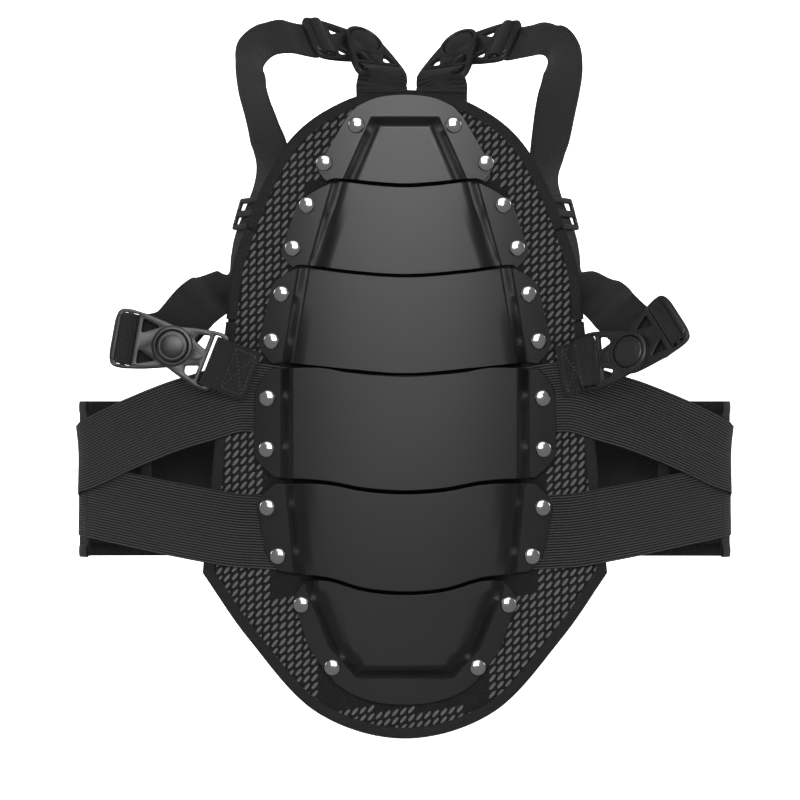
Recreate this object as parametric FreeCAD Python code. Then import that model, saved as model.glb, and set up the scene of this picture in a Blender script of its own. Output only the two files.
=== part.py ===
"""Motorcycle back protector: six hard plates riveted over a flexible foam back pad.

Millimetres. X is across the back, the plates face -Y, the wearer is on the +Y side
and +Z is up. The origin is the centre of the pad's inner face at mid-height.
The pad is bent round the wearer's back, so every layer of it is part of a cylinder
about one vertical axis, and a layer is named by its radius.
"""
import FreeCAD, Part

import os
from math import sqrt

V = FreeCAD.Vector

# --- pad ---------------------------------------------------------------------------------
BACK_RADIUS = 500.0
LINING = (500.0, 501.5)
FOAM = (501.6, 516.0)
MESH = (516.1, 517.6)
BINDING = (498.8, 518.7)
BINDING_WIDTH = 6.5
BINDING_OVERHANG = 1.3
BINDING_CLEARANCE = 0.1
PAD_UPPER_EDGE = [(0, 240), (47, 231), (90, 197), (124, 122), (133, 63), (142, -33), (150, -118)]
PAD_LOWER_EDGE = [(150, -118), (115, -167), (65, -220), (0, -239)]

# --- how the pad bends: one hinge line at each gap between two plates ----------------------
HINGE_Y = -9.0
HINGE_Z = {"1_2": 172.0, "2_3": 107.0, "3_4": 33.0, "4_5": -54.0, "5_6": -127.0}
SPLIT_GAP = 0.3
FORWARD_SLOPE = 0.1
BACKWARD_SLOPE = 0.05

# --- plates ------------------------------------------------------------------------------
PLATE_THICKNESS = 2.4
PLATE_RISE = 9.0
WALL_DRAFT = 7.0
SEAT_ON_MESH = 517.8
SEAT_ON_BAND = 519.5
SEAT_ON_WEBBING = 520.8

# Each plate: radius of its underside, its edge and the foot of its raised middle, from the
# middle of the top edge round the wearer's left side to the middle of the bottom edge.
PLATES = {
    1: {
        "seat": SEAT_ON_WEBBING,
        "top": [(0, 237.5), (20, 235.5), (35, 229.5)],
        "side": [(35, 229.5), (42, 223), (66.5, 181), (58.5, 173.6)],
        "bottom": [(58.5, 173.6), (50, 175.4), (24, 172.5), (0, 171)],
        "raised": [(24.5, 221), (52, 160)],
        "rivets": [(36, 215), (60, 187)],
    },
    2: {
        "seat": SEAT_ON_MESH,
        "top": [(0, 168.3), (24, 169.8), (50, 172.7), (61, 169.5)],
        "side": [(61, 169.5), (79, 160), (93.5, 118), (83, 109.6)],
        "bottom": [(83, 109.6), (76, 111.6), (40, 107), (0, 104.3)],
        "raised": [(50, 185), (53.7, 172), (78, 112), (82, 95)],
        "rivets": [(73, 156), (83.5, 124)],
    },
    3: {
        "seat": SEAT_ON_MESH,
        "top": [(0, 101.6), (40, 104.3), (76, 108.9), (86, 106.6)],
        "side": [(86, 106.6), (98, 100), (110.3, 49), (98.5, 38.2)],
        "bottom": [(98.5, 38.2), (88, 39), (45, 34.5), (0, 31)],
        "raised": [(76, 125), (79.2, 106), (91.4, 39), (93, 20)],
        "rivets": [(92, 90), (99.5, 55)],
    },
    4: {
        "seat": SEAT_ON_BAND,
        "top": [(0, 28.4), (45, 32), (62, 35.8), (99, 34.5)],
        "side": [(99, 34.5), (111.5, 22), (113, -34), (97, -46.6)],
        "bottom": [(97, -46.6), (60, -48.6), (30, -54), (0, -56)],
        "raised": [(91.4, 55), (91.4, -70)],
        "rivets": [(102.5, 12.5), (103, -25.5)],
    },
    5: {
        "seat": SEAT_ON_BAND,
        "top": [(0, -58.7), (30, -56.7), (60, -51.3), (97, -51.2)],
        "side": [(97, -51.2), (111, -63), (103, -106), (93, -116.5)],
        "bottom": [(93, -116.5), (57, -120.3), (30, -128), (0, -130.6)],
        "raised": [(91.4, -35), (91.4, -55), (82, -118), (80, -140)],
        "rivets": [(102.5, -69), (94.5, -105)],
    },
    6: {
        "seat": SEAT_ON_MESH,
        "top": [(0, -133.3), (30, -130.7), (57, -123), (73, -123.5)],
        "side": [(73, -123.5), (84.5, -135), (70, -177), (51, -200)],
        "bottom": [(51, -200), (38, -208), (20, -213.5), (0, -215)],
        "raised": [(74, -110), (72.5, -130), (55.5, -172), (36, -194)],
        "rivets": [(77, -141), (54, -187.5)],
    },
}

# --- rivets ------------------------------------------------------------------------------
RIVET_CAP_RADIUS = 6.0
RIVET_CAP_HEIGHT = 2.6
RIVET_POST_RADIUS = 2.0
RIVET_HOLE_RADIUS = 2.2
RIVET_BACK_RADIUS = 5.0
RIVET_BACK_HEIGHT = 1.2
RIVET_POCKET_DEPTH = 1.6
RIVET_SEAT_CLEARANCE = 0.05

# --- waist belt --------------------------------------------------------------------------
BAND_THICKNESS = 1.5
BAND_RADIUS = 518.57
BAND_OVER_BINDING_RADIUS = 519.9
UPPER_BAND_WIDTH = 52.0
LOWER_BAND_WIDTH = 55.0
BAND_PAD_REACH = 112.0
# Free run of each band from the pad's edge to the fold: x, y, middle height.
UPPER_BAND_RUN = [(128, -3.9, 12.5), (150, 2.4, 6), (176, 12, -2), (212, 29, -16.5), (238, 44.5, -29)]
LOWER_BAND_RUN = [(128, -3.9, -86), (150, 2.4, -82.5), (176, 14, -78), (212, 32, -71), (238, 48, -66)]
LOWER_BAND_SPLIT = 153.0
LOWER_BAND_SPLIT_GAP = 1.0
SPREADER_X = (191.0, 199.0)
SPREADER_Y = 27.0
SPREADER_SLOPE = 0.47
SPREADER_HEIGHT = 96.0
SPREADER_MIDDLE_Z = -46.0
SPREADER_THICKNESS = 1.2
FOLD_X = 243.0
FOLD_Y = 58.0
WING_HEIGHT = 116.0
WING_MIDDLE_Z = -49.0
WING_THICKNESS = 2.0
LEFT_WING_RUN = [(248, 62), (248, 72), (243, 79), (232, 82.5), (150, 84.8), (60, 85.5), (-60, 85.5)]
RIGHT_WING_RUN = [(248, 62), (247.5, 68), (243, 73), (232, 76), (150, 78.2), (60, 79), (-60, 79)]
HOOK_PANEL_Y = 83.5
LOOP_PANEL_Y = 81.2
PANEL_THICKNESS = 1.6
PANEL_HEIGHT = 96.0

# --- webbing and buckles -----------------------------------------------------------------
WEBBING_WIDTH = 38.0
WEBBING_THICKNESS = 1.4
FRAME_THICKNESS = 4.6
RING_RADIUS = 15.5
BUTTON_HOLE_RADIUS = 12.4
SLOT = (27.0, 32.5)
FRAME_END_X = 38.0
SLOT_HALF_LENGTH = 19.8
FRAME_END_HALF_WIDTH = 22.5
LOCK_THICKNESS = 4.0
LOCK_DROP = 0.5
HUB_RADIUS = 15.0
HUB_BORE_RADIUS = 5.3
FRAME_FLOOR = 1.2
PIN_RADIUS = 5.0
PIN_HEAD = (7.0, 1.2)
LOCK_INNER_BAR = (-29.0, -25.5)
LOCK_OUTER_BAR = (-46.0, -40.5)
LOCK_HALF_WIDTH = 23.0
BUTTON_RADIUS = 12.0
BUTTON_DOME_HEIGHT = 1.8
BUTTON_TRAVEL = 2.0
BUTTON_CLEARANCE = 0.2
ADJUSTER_SIZE = (46.0, 25.0, 3.0)
ADJUSTER_SLOT = (40.0, 6.0)
ADJUSTER_BAR_HALF = 2.5

# Each buckle: button centre, outward normal, direction to the webbing slot and direction
# of the ladder lock. Left and right are as seen from behind the wearer.
BUCKLES = {
    "top_left": ((-32, 5.5, 277), (0.45, -0.55, 0.70), (0.39, -0.59, -0.71), (-0.84, -0.53, 0.12)),
    "top_right": ((42, 5.5, 275), (-0.45, -0.55, 0.70), (-0.39, -0.59, -0.71), (0.84, -0.53, 0.12)),
    "side_left": ((-173, -7, 51), (-0.05, -1.0, 0.05), (0.93, -0.03, -0.36), (-0.985, 0.05, 0.17)),
    "side_right": ((167, -30, 46), (-0.55, -0.80, 0.22), (-0.83, 0.51, -0.22), (0.71, -0.32, 0.63)),
}

# Webbing round the bars, in a buckle's own frame: x, y, z and the direction of its width.
# A frame's x points from the button to the webbing slot; a ladder lock's x points the
# other way from its bars; z is out of the button.
ANCHOR_LOOP = [(40, 0, -1.6), (31.5, 0, -1.3), (29.8, 0, 2.3), (31.5, 0, 6.0), (40, 0, 6.2)]
SIDE_ANCHOR_UNDER = [(58, 0, -1.6)]
SIDE_ANCHOR_OVER = [(46, 0, 3.2), (52, 0, 0.6), (58, 0, 0.2)]
TOP_STRAP_END = [
    (-60, 0, -6.4),
    (-38, 0, -6.4),
    (-35.4, 0, -5.0),
    (-34.6, 0, -2.2),
    (-35.4, 0, 0.6),
    (-38, 0, 1.4),
    (-56, 0, 1.4),
]
STRAP_TURN = [(-46, 0, -6.4), (-50, 0, -5.2), (-51.3, 0, -2.5), (-50, 0, 0.4), (-46, 0, 1.5), (-34, 0, 1.5)]
SIDE_STRAP_APPROACH = {
    "side_left": [((8, 24, -6.4), (-0.79, 0.61, 0)), ((-3, 11, -6.4), (-0.6, 0.8, 0)), ((-22, 2, -6.4), (-0.2, 1, 0))],
    "side_right": [((-5, -26, -6.4), (1, 0, 0)), ((-13, -8, -6.4), (0.7, 0.7, 0)), ((-30, 0, -6.4), (0, 1, 0))],
}

# Straps through the air: centre and width direction.
SHOULDER_STRAP = {
    "left": [
        ((-89.5, -25.5, 280.3), (0.305, -0.642, -0.70)),
        ((-103, -27, 277), (0.45, -0.70, -0.55)),
        ((-113, -19, 268), (0.55, -0.78, -0.30)),
        ((-115, -5, 255), (0.52, -0.85, -0.1)),
        ((-113, 8, 240), (0.52, -0.85, 0)),
        ((-108, 21, 223), (0.6, -0.8, 0)),
        ((-103, 30, 206), (0.7, -0.7, 0)),
        ((-102, 37, 192), (0.65, -0.75, 0)),
        ((-108, 43, 172), (0.4, -0.92, 0)),
        ((-121, 47, 138), (0.4, -0.92, 0)),
    ],
    "right": [
        ((99.5, -25.5, 278.3), (-0.305, -0.642, -0.70)),
        ((110, -28, 276), (-0.5, -0.70, -0.5)),
        ((116, -20, 267), (-0.65, -0.70, -0.25)),
        ((117, -6, 254), (-0.74, -0.66, -0.1)),
        ((115, 8, 240), (-0.78, -0.62, 0)),
        ((112.5, 21, 224), (-0.78, -0.62, 0)),
        ((110, 31, 207), (-0.75, -0.65, 0)),
        ((108, 38, 192), (-0.65, -0.75, 0)),
        ((110, 43, 172), (-0.4, -0.92, 0)),
        ((122, 47, 138), (-0.4, -0.92, 0)),
    ],
}
LOWER_STRAP = {
    "left": [
        ((-156, 3, 81.6), (-0.67, 0, 0.74)),
        ((-143.5, 30, 92.5), (-0.45, 0.55, 0.7)),
        ((-129, 38, 103), (-0.5, 0.7, 0.35)),
        ((-125, 43, 110), (-0.42, 0.88, 0.1)),
    ],
    "right": [
        ((158.5, -7, 75.5), (0.71, -0.32, 0.63)),
        ((152, 11, 84), (0.55, 0.35, 0.7)),
        ((143, 31, 93), (0.45, 0.6, 0.6)),
        ((131, 41, 104), (0.5, 0.7, 0.35)),
        ((126, 45, 110), (0.42, 0.88, 0.1)),
    ],
}
ADJUSTER_GAP = 1.0
ADJUSTER_POSITION = 0.6
TOP_ANCHOR_END = [(226, 519.5), (242.8, 519.6)]
TOP_ANCHOR_RETURN = [(243.9, 521.8), (239, 521.4)]
SIDE_ANCHOR_RIGHT = [(126, 34.6, 521.6), (116, 32.4, 521.0)]
SIDE_ANCHOR_LIFT = (0, 1.7)


def unit(vector):
    """The vector at length one."""
    result = V(vector)
    result.normalize()
    return result


def depth(radius, x):
    """Depth Y of a pad layer of that radius at a distance x from the middle."""
    return BACK_RADIUS - sqrt(radius * radius - x * x)


def curve_through(points):
    """A smooth edge in the XZ plane."""
    curve = Part.BSplineCurve()
    curve.interpolate([V(x, 0, z) for x, z in points])
    return curve.toShape()


def mirrored(points):
    """The same points on the other side of the middle, in reverse order."""
    return [(-x, z) for x, z in reversed(points)]


def extrude_outline(wire):
    """A solid through the pad's whole depth with that outline."""
    face = Part.Face(wire)
    face.translate(V(0, -70, 0))
    return face.extrude(V(0, 140, 0))


def cylinder_of_back(radius):
    """The solid cylinder that a layer's surface lies on."""
    return Part.makeCylinder(radius, 600, V(0, BACK_RADIUS, -300))


def cut_layer(solid, layer):
    """What lies between a layer's inner and outer radius."""
    inner, outer = layer
    return solid.common(cylinder_of_back(outer)).cut(cylinder_of_back(inner))


def export(name, shape):
    """Write one node."""
    shape.exportStep("parts/" + name + ".step")


# --- pad ---------------------------------------------------------------------------------
def edge_normals(points):
    """Outward normals of the curve through the points, which run clockwise."""
    curve = Part.BSplineCurve()
    curve.interpolate([V(x, 0, z) for x, z in points])
    normals = []
    for x, z in points:
        along = curve.tangent(curve.parameter(V(x, 0, z)))[0]
        normals.append((-along.z, along.x))
    return normals


def grown(points, normals, distance):
    """The points moved out along their normals."""
    return [(x + nx * distance, z + nz * distance) for (x, z), (nx, nz) in zip(points, normals)]


def pad_wire(distance=0):
    """The pad's outline moved out by a distance: a shield with a corner low on each side."""
    upper = mirrored(PAD_UPPER_EDGE)[:-1] + PAD_UPPER_EDGE
    lower = PAD_LOWER_EDGE + mirrored(PAD_LOWER_EDGE)[1:]
    upper_normals = edge_normals(upper)
    lower_normals = edge_normals(lower)
    (ax, az), (bx, bz) = upper_normals[-1], lower_normals[0]
    share = 1 + ax * bx + az * bz
    corner = ((ax + bx) / share, (az + bz) / share)
    far_corner = (-corner[0], corner[1])
    upper_normals[0] = lower_normals[-1] = far_corner
    upper_normals[-1] = lower_normals[0] = corner
    upper = grown(upper, upper_normals, distance)
    lower = grown(lower, lower_normals, distance)
    return Part.Wire([curve_through(upper), curve_through(lower)])


def hinge_profile(z, side):
    """Y and Z of the pad's cut at one hinge line. side is 1 for the face above the cut."""
    edge = z + side * SPLIT_GAP / 2
    inner = (60, edge + side * (60 - HINGE_Y) * FORWARD_SLOPE)
    outer = (-60, edge + side * (60 + HINGE_Y) * BACKWARD_SLOPE)
    return [outer, (HINGE_Y, edge), inner]


def block_space(number):
    """The room of one foam block between its two hinge lines."""
    above = HINGE_Z.get(str(number - 1) + "_" + str(number))
    below = HINGE_Z.get(str(number) + "_" + str(number + 1))
    top = [(-60, 300), (60, 300)] if above is None else hinge_profile(above, -1)
    bottom = [(-60, -300), (60, -300)] if below is None else hinge_profile(below, 1)
    outline = top + bottom[::-1]
    wire = Part.makePolygon([V(-200, y, z) for y, z in outline + outline[:1]])
    return Part.Face(wire).extrude(V(400, 0, 0))


def radial_placement(x, z, radius, reference):
    """Local +Z pointing straight out of the pad, through x at the reference radius."""
    outward = V(x / reference, -sqrt(1 - (x / reference) ** 2), 0)
    base = V(0, BACK_RADIUS, z) + outward * radius
    return FreeCAD.Placement(base, FreeCAD.Rotation(V(0, 0, 1), outward))


def rivet_places(number):
    """The four rivets of one plate, as x and z."""
    right = PLATES[number]["rivets"]
    return right + [(-x, z) for x, z in right]


def rivet_seat(number):
    """Radius of the pad on which the caps of a plate's rivets stand."""
    return PLATES[number]["seat"] + PLATE_THICKNESS + RIVET_SEAT_CLEARANCE


def rivet_cylinders(numbers, radius, start, end):
    """Cylinders on the axes of those plates' rivets, from one layer radius to another."""
    cylinders = []
    for number in numbers:
        for x, z in rivet_places(number):
            cylinder = Part.makeCylinder(radius, end - start)
            cylinder.Placement = radial_placement(x, z, start, rivet_seat(number))
            cylinders.append(cylinder)
    return cylinders


def dome(radius, height, base):
    """A spherical cap of that rim radius and height, standing on the local XY plane."""
    sphere_radius = (radius * radius + height * height) / (2 * height)
    sphere = Part.makeSphere(sphere_radius, V(0, 0, base + height - sphere_radius))
    return sphere.common(disc(radius, base, height + 1))


def make_rivets(number):
    """Four domed rivets: cap over the plate, post through it and a washer under the mesh."""
    flange_top = rivet_seat(number)
    post_end = MESH[0] - RIVET_SEAT_CLEARANCE - RIVET_BACK_HEIGHT - flange_top
    rivet = dome(RIVET_CAP_RADIUS, RIVET_CAP_HEIGHT, 0)
    rivet = rivet.fuse(disc(RIVET_POST_RADIUS, post_end, -post_end))
    rivet = rivet.fuse(disc(RIVET_BACK_RADIUS, post_end, RIVET_BACK_HEIGHT))
    places = [radial_placement(x, z, flange_top, flange_top) for x, z in rivet_places(number)]
    return Part.makeCompound([placed(rivet, place) for place in places])


def make_pad():
    """Lining, six foam blocks, outer mesh and the binding round their edge."""
    body = extrude_outline(pad_wire())
    export("inner_lining", cut_layer(body, LINING))
    holes = rivet_cylinders(PLATES, RIVET_HOLE_RADIUS, MESH[0] - 2, MESH[1] + 2)
    export("outer_mesh_cover", cut_layer(body, MESH).cut(holes))
    foam = cut_layer(body, FOAM)
    for number in PLATES:
        pocket_bottom = FOAM[1] - RIVET_POCKET_DEPTH
        pockets = rivet_cylinders([number], RIVET_BACK_RADIUS + 0.3, pocket_bottom, MESH[0])
        export("foam_block_" + str(number), foam.common(block_space(number)).cut(pockets))
    wide = extrude_outline(pad_wire(BINDING_OVERHANG))
    narrow = extrude_outline(pad_wire(-BINDING_WIDTH))
    filling = extrude_outline(pad_wire(BINDING_CLEARANCE))
    filling = cut_layer(filling, (LINING[0] - BINDING_CLEARANCE, MESH[1] + BINDING_CLEARANCE))
    export("edge_binding", cut_layer(wide.cut(narrow), BINDING).cut(filling))


# --- plates ------------------------------------------------------------------------------
def plate_wire(plate):
    """A plate's wavy outline, both halves."""
    top = mirrored(plate["top"])[:-1] + plate["top"]
    bottom = plate["bottom"] + mirrored(plate["bottom"])[1:]
    side = plate["side"]
    edges = [curve_through(top)]
    edges += rounded_side(side)
    edges.append(curve_through(bottom))
    edges += rounded_side(mirrored(side))
    return Part.Wire(edges)


def rounded_side(points):
    """A plate's side: a straight run between two rounded corners."""
    start, upper, lower, end = [V(x, 0, z) for x, z in points]
    run_start = upper + (lower - upper) * 0.12
    run_end = lower + (upper - lower) * 0.12
    first = Part.BezierCurve()
    first.setPoles([start, upper, run_start])
    last = Part.BezierCurve()
    last.setPoles([run_end, lower, end])
    return [first.toShape(), Part.LineSegment(run_start, run_end).toShape(), last.toShape()]


def raised_wall(plate, inset):
    """The drafted block whose side is the wall round a plate's raised middle."""
    points = plate["raised"] + mirrored(plate["raised"])
    foot = Part.makePolygon([V(x, 0, z) for x, z in points + points[:1]])
    half_width = max(x for x, z in plate["raised"])
    foot_y = depth(plate["seat"] + PLATE_THICKNESS, half_width)
    slope = WALL_DRAFT / PLATE_RISE
    rings = []
    for beyond in (12.0, -26.0):
        ring = foot.makeOffset2D(beyond * slope - inset, 2)
        ring.translate(V(0, foot_y + beyond, 0))
        rings.append(ring)
    return Part.makeLoft(rings, True, True)


def make_plate(number):
    """A thermoformed plate of even thickness: flat flanges and a raised hollow middle."""
    plate = PLATES[number]
    seat = plate["seat"]
    body = extrude_outline(plate_wire(plate))
    flange = cut_layer(body, (seat, seat + PLATE_THICKNESS))
    crown = cut_layer(body, (seat, seat + PLATE_THICKNESS + PLATE_RISE))
    crown = crown.common(raised_wall(plate, 0))
    hollow = cut_layer(raised_wall(plate, PLATE_THICKNESS), (seat - 3, seat + PLATE_RISE))
    holes = rivet_cylinders([number], RIVET_HOLE_RADIUS, seat - 2, seat + PLATE_THICKNESS + 2)
    export("plate_" + str(number), flange.fuse(crown).cut(hollow).cut(holes))
    export("plate_" + str(number) + "_rivets", make_rivets(number))


# --- ribbons: bands, straps and webbing ---------------------------------------------------
def ribbon(stations, width, thickness):
    """A flat band through stations of centre and width direction."""
    centres = [V(*centre) for centre, across in stations]
    rings = []
    for index, (centre, across) in enumerate(stations):
        before = centres[max(index - 1, 0)]
        after = centres[min(index + 1, len(centres) - 1)]
        side = unit(V(*across))
        normal = unit((after - before).cross(side)) * (thickness / 2)
        half = side * (width / 2)
        middle = centres[index]
        corners = [middle + half + normal, middle - half + normal]
        corners += [middle - half - normal, middle + half - normal]
        rings.append(corners)
    faces = [flat_end(rings[0]), flat_end(rings[-1])]
    for here, there in zip(rings, rings[1:]):
        for corner in range(4):
            beside = (corner + 1) % 4
            near = Part.LineSegment(here[corner], here[beside]).toShape()
            far = Part.LineSegment(there[corner], there[beside]).toShape()
            faces.append(Part.makeRuledSurface(near, far, 1))
    shell = Part.makeCompound(faces)
    shell.sewShape()
    solid = Part.makeSolid(shell.Shells[0])
    if solid.Volume < 0:
        solid.reverse()
    return solid


def flat_end(corners):
    """The square-cut end of a ribbon."""
    return Part.Face(Part.makePolygon(corners + corners[:1]))


def band_on_pad(middle_z, steps=12):
    """Stations of a band across the pad, from the wearer's left to right."""
    stations = []
    for step in range(steps + 1):
        x = BAND_PAD_REACH * (2 * step / steps - 1)
        stations.append(((x, depth(BAND_RADIUS, x), middle_z(x)), (0, 0, 1)))
    return stations


def free_run(run, side):
    """Stations of a band's run beside the pad, on side 1 or -1."""
    return [((side * x, y, z), (0, 0, 1)) for x, y, z in run]


def make_belt():
    """Two elastic bands, the tapes between them and the two rear wings of the belt."""
    across = band_on_pad(lambda x: 4 + 9 * (x / BAND_PAD_REACH) ** 2)
    left = free_run(UPPER_BAND_RUN, -1)[::-1]
    right = free_run(UPPER_BAND_RUN, 1)
    holes = rivet_cylinders([4, 5], RIVET_HOLE_RADIUS, MESH[0], SEAT_ON_BAND + 2)
    upper = ribbon(left + across + right, UPPER_BAND_WIDTH, BAND_THICKNESS)
    export("upper_belt_band", upper.cut(holes))
    across = band_on_pad(lambda x: -90 + 3 * (x / BAND_PAD_REACH) ** 2)
    left = free_run(LOWER_BAND_RUN, -1)[::-1]
    right = free_run(LOWER_BAND_RUN, 1)
    lower = ribbon(left + across + right, LOWER_BAND_WIDTH, BAND_THICKNESS).cut(holes)
    inner = LOWER_BAND_SPLIT - LOWER_BAND_SPLIT_GAP
    middle_space = Part.makeBox(2 * inner, 200, 200, V(-inner, -100, -200))
    export("lower_belt_band_centre", lower.common(middle_space))
    for side, name in ((-1, "left"), (1, "right")):
        start = min(side * LOWER_BAND_SPLIT, side * 260)
        outer_space = Part.makeBox(260 - LOWER_BAND_SPLIT, 200, 200, V(start, -100, -200))
        export("lower_belt_band_" + name, lower.common(outer_space))
        make_spreader(side, name)
    make_wing(LEFT_WING_RUN, -1, "left")
    make_wing(RIGHT_WING_RUN, 1, "right")


def make_spreader(side, name):
    """The upright tape that holds the two bands apart behind the fold of the belt."""
    stations = []
    for x in SPREADER_X:
        y = SPREADER_Y + (x - SPREADER_X[0]) * SPREADER_SLOPE
        stations.append(((side * x, y, SPREADER_MIDDLE_Z), (0, 0, 1)))
    export("belt_spreader_" + name, ribbon(stations, SPREADER_HEIGHT, SPREADER_THICKNESS))


def make_wing(run, side, name):
    """The rear run of the belt from its fold to past the middle, and its closure panel."""
    stations = [((side * x, y, WING_MIDDLE_Z), (0, 0, 1)) for x, y in run]
    export("belt_wing_" + name, ribbon(stations, WING_HEIGHT, WING_THICKNESS))
    y = HOOK_PANEL_Y if side < 0 else LOOP_PANEL_Y
    node = "hook_panel_left" if side < 0 else "loop_panel_right"
    ends = ((-side * 55, y), (side * 55, y))
    stations = [((x, y, WING_MIDDLE_Z), (0, 0, 1)) for x, y in ends]
    export(node, ribbon(stations, PANEL_HEIGHT, PANEL_THICKNESS))


# --- buckles -----------------------------------------------------------------------------
def facing(origin, normal, direction):
    """A frame with Z along the normal and X as near as it can be to the direction."""
    z = unit(V(*normal))
    x = V(*direction)
    x = unit(x - z * x.dot(z))
    return FreeCAD.Placement(V(*origin), FreeCAD.Rotation(x, z.cross(x), z, "ZXY"))


def frame_placement(name):
    """A buckle frame's place: X towards its webbing slot."""
    origin, normal, slot_direction, lock_direction = BUCKLES[name]
    return facing(origin, normal, slot_direction)


def lock_placement(name):
    """A ladder lock's place: X away from its bars."""
    origin, normal, slot_direction, lock_direction = BUCKLES[name]
    return facing(origin, normal, [-value for value in lock_direction])


def slab(points, bottom, height):
    """An upright prism over a polygon in the XY plane."""
    face = Part.Face(Part.makePolygon([V(x, y, bottom) for x, y in points + points[:1]]))
    return face.extrude(V(0, 0, height))


def disc(radius, bottom, height):
    """An upright cylinder on the local axis."""
    return Part.makeCylinder(radius, height, V(0, 0, bottom))


def both_sides(points):
    """Points of a shape that is symmetric about the local X axis, from its +y half."""
    return points + [(x, -y) for x, y in reversed(points)]


def make_frame():
    """The half of a buckle with the cup for the button, the pivot pin and the webbing slot."""
    half = [(0, RING_RADIUS - 1.5), (SLOT[0], FRAME_END_HALF_WIDTH - 1.5)]
    half += [(FRAME_END_X - 2, FRAME_END_HALF_WIDTH), (FRAME_END_X, SLOT_HALF_LENGTH)]
    solid = disc(RING_RADIUS, 0, FRAME_THICKNESS)
    solid = solid.fuse(slab(both_sides(half), 0, FRAME_THICKNESS))
    slot = both_sides([(SLOT[0], SLOT_HALF_LENGTH), (SLOT[1], SLOT_HALF_LENGTH)])
    solid = solid.cut(slab(slot, -1, FRAME_THICKNESS + 2))
    solid = solid.cut(disc(BUTTON_HOLE_RADIUS, FRAME_FLOOR, FRAME_THICKNESS))
    pin_end = -LOCK_DROP - LOCK_THICKNESS
    solid = solid.fuse(disc(PIN_RADIUS, pin_end, FRAME_FLOOR - 0.2 - pin_end))
    solid = solid.fuse(disc(PIN_HEAD[0], pin_end, PIN_HEAD[1]))
    for side in (1, -1):
        window = [(13.5, side * 11), (SLOT[0] - 3, side * 5), (SLOT[0] - 3, side * 16.5)]
        solid = solid.cut(slab(window, -1, FRAME_THICKNESS + 2))
    return solid


def make_ladder_lock():
    """The half with the hub under the button and the bars that the strap threads."""
    bottom = -LOCK_DROP - LOCK_THICKNESS
    half = [(0, HUB_RADIUS - 1.5), (-20, LOCK_HALF_WIDTH - 3)]
    half += [(-40, LOCK_HALF_WIDTH), (LOCK_OUTER_BAR[0], LOCK_HALF_WIDTH - 1)]
    solid = disc(HUB_RADIUS, bottom, LOCK_THICKNESS)
    solid = solid.fuse(slab(both_sides(half), bottom, LOCK_THICKNESS))
    solid = solid.cut(disc(HUB_BORE_RADIUS, bottom - 1, LOCK_THICKNESS + 2))
    solid = solid.cut(disc(PIN_HEAD[0] + 0.3, bottom - 1, PIN_HEAD[1] + 1.3))
    gap = both_sides([(LOCK_INNER_BAR[0], 19.8), (LOCK_OUTER_BAR[1], 19.8)])
    solid = solid.cut(slab(gap, bottom - 1, LOCK_THICKNESS + 2))
    for side in (1, -1):
        window = [(-11, side * 13.2), (LOCK_INNER_BAR[1], side * 16.5), (LOCK_INNER_BAR[1], side * 5.5)]
        solid = solid.cut(slab(window, bottom - 1, LOCK_THICKNESS + 2))
    return solid


def make_button():
    """The round domed push button that slides down in the frame's cup."""
    underside = FRAME_FLOOR + BUTTON_TRAVEL + BUTTON_CLEARANCE
    solid = disc(BUTTON_RADIUS, underside, FRAME_THICKNESS - underside)
    return solid.fuse(dome(BUTTON_RADIUS, BUTTON_DOME_HEIGHT, FRAME_THICKNESS))


def placed(shape, placement):
    """A copy of a shape at that place."""
    copy = shape.copy()
    copy.Placement = placement
    return copy


def in_place(placement, point, across=(0, 1, 0)):
    """A ribbon station given in a buckle's own frame."""
    centre = placement.multVec(V(*point))
    direction = placement.Rotation.multVec(V(*across))
    return (tuple(centre), tuple(direction))


def make_buckles():
    """Four swivel buckles: frame, ladder lock and push button each."""
    frame = make_frame()
    lock = make_ladder_lock()
    button = make_button()
    for name in BUCKLES:
        export("buckle_frame_" + name, placed(frame, frame_placement(name)))
        export("ladder_lock_" + name, placed(lock, lock_placement(name)))
        export("release_button_" + name, placed(button, frame_placement(name)))


def make_top_anchor(side):
    """The webbing loop that ties a top buckle down under the first plate."""
    place = frame_placement("top_" + side)
    loop = [in_place(place, point) for point in ANCHOR_LOOP]
    x = loop[0][0][0]
    across = (1, x / SEAT_ON_WEBBING, 0)
    inner = [((x, depth(radius, x), z), across) for z, radius in TOP_ANCHOR_END]
    outer = [((x, depth(radius, x), z), across) for z, radius in TOP_ANCHOR_RETURN]
    export("top_anchor_webbing_" + side, ribbon(inner + loop + outer, WEBBING_WIDTH, WEBBING_THICKNESS))


def make_side_anchor(side):
    """The webbing loop that ties a side buckle to the upper band at the pad's edge."""
    place = frame_placement("side_" + side)
    if side == "right":
        layers = []
        for lift in SIDE_ANCHOR_LIFT:
            layer = [(x, depth(radius + lift, x), z) for x, z, radius in SIDE_ANCHOR_RIGHT]
            layers.append([(centre, (0.2, 0.047, -0.98)) for centre in layer])
        loop = [in_place(place, point) for point in ANCHOR_LOOP]
        stations = layers[0][::-1] + loop + layers[1]
    else:
        path = SIDE_ANCHOR_UNDER + ANCHOR_LOOP + SIDE_ANCHOR_OVER
        stations = [in_place(place, point) for point in path]
    export("side_anchor_webbing_" + side, ribbon(stations, WEBBING_WIDTH, WEBBING_THICKNESS))


def make_strap_ends(side):
    """The ends of the straps round the bars of the top and side ladder locks."""
    place = lock_placement("top_" + side)
    stations = [in_place(place, point) for point in TOP_STRAP_END]
    export("shoulder_strap_end_" + side, ribbon(stations, WEBBING_WIDTH, WEBBING_THICKNESS))
    place = lock_placement("side_" + side)
    approach = SIDE_STRAP_APPROACH["side_" + side]
    stations = [in_place(place, point, across) for point, across in approach]
    stations += [in_place(place, point) for point in STRAP_TURN]
    export("lower_strap_end_" + side, ribbon(stations, WEBBING_WIDTH, WEBBING_THICKNESS))


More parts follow.
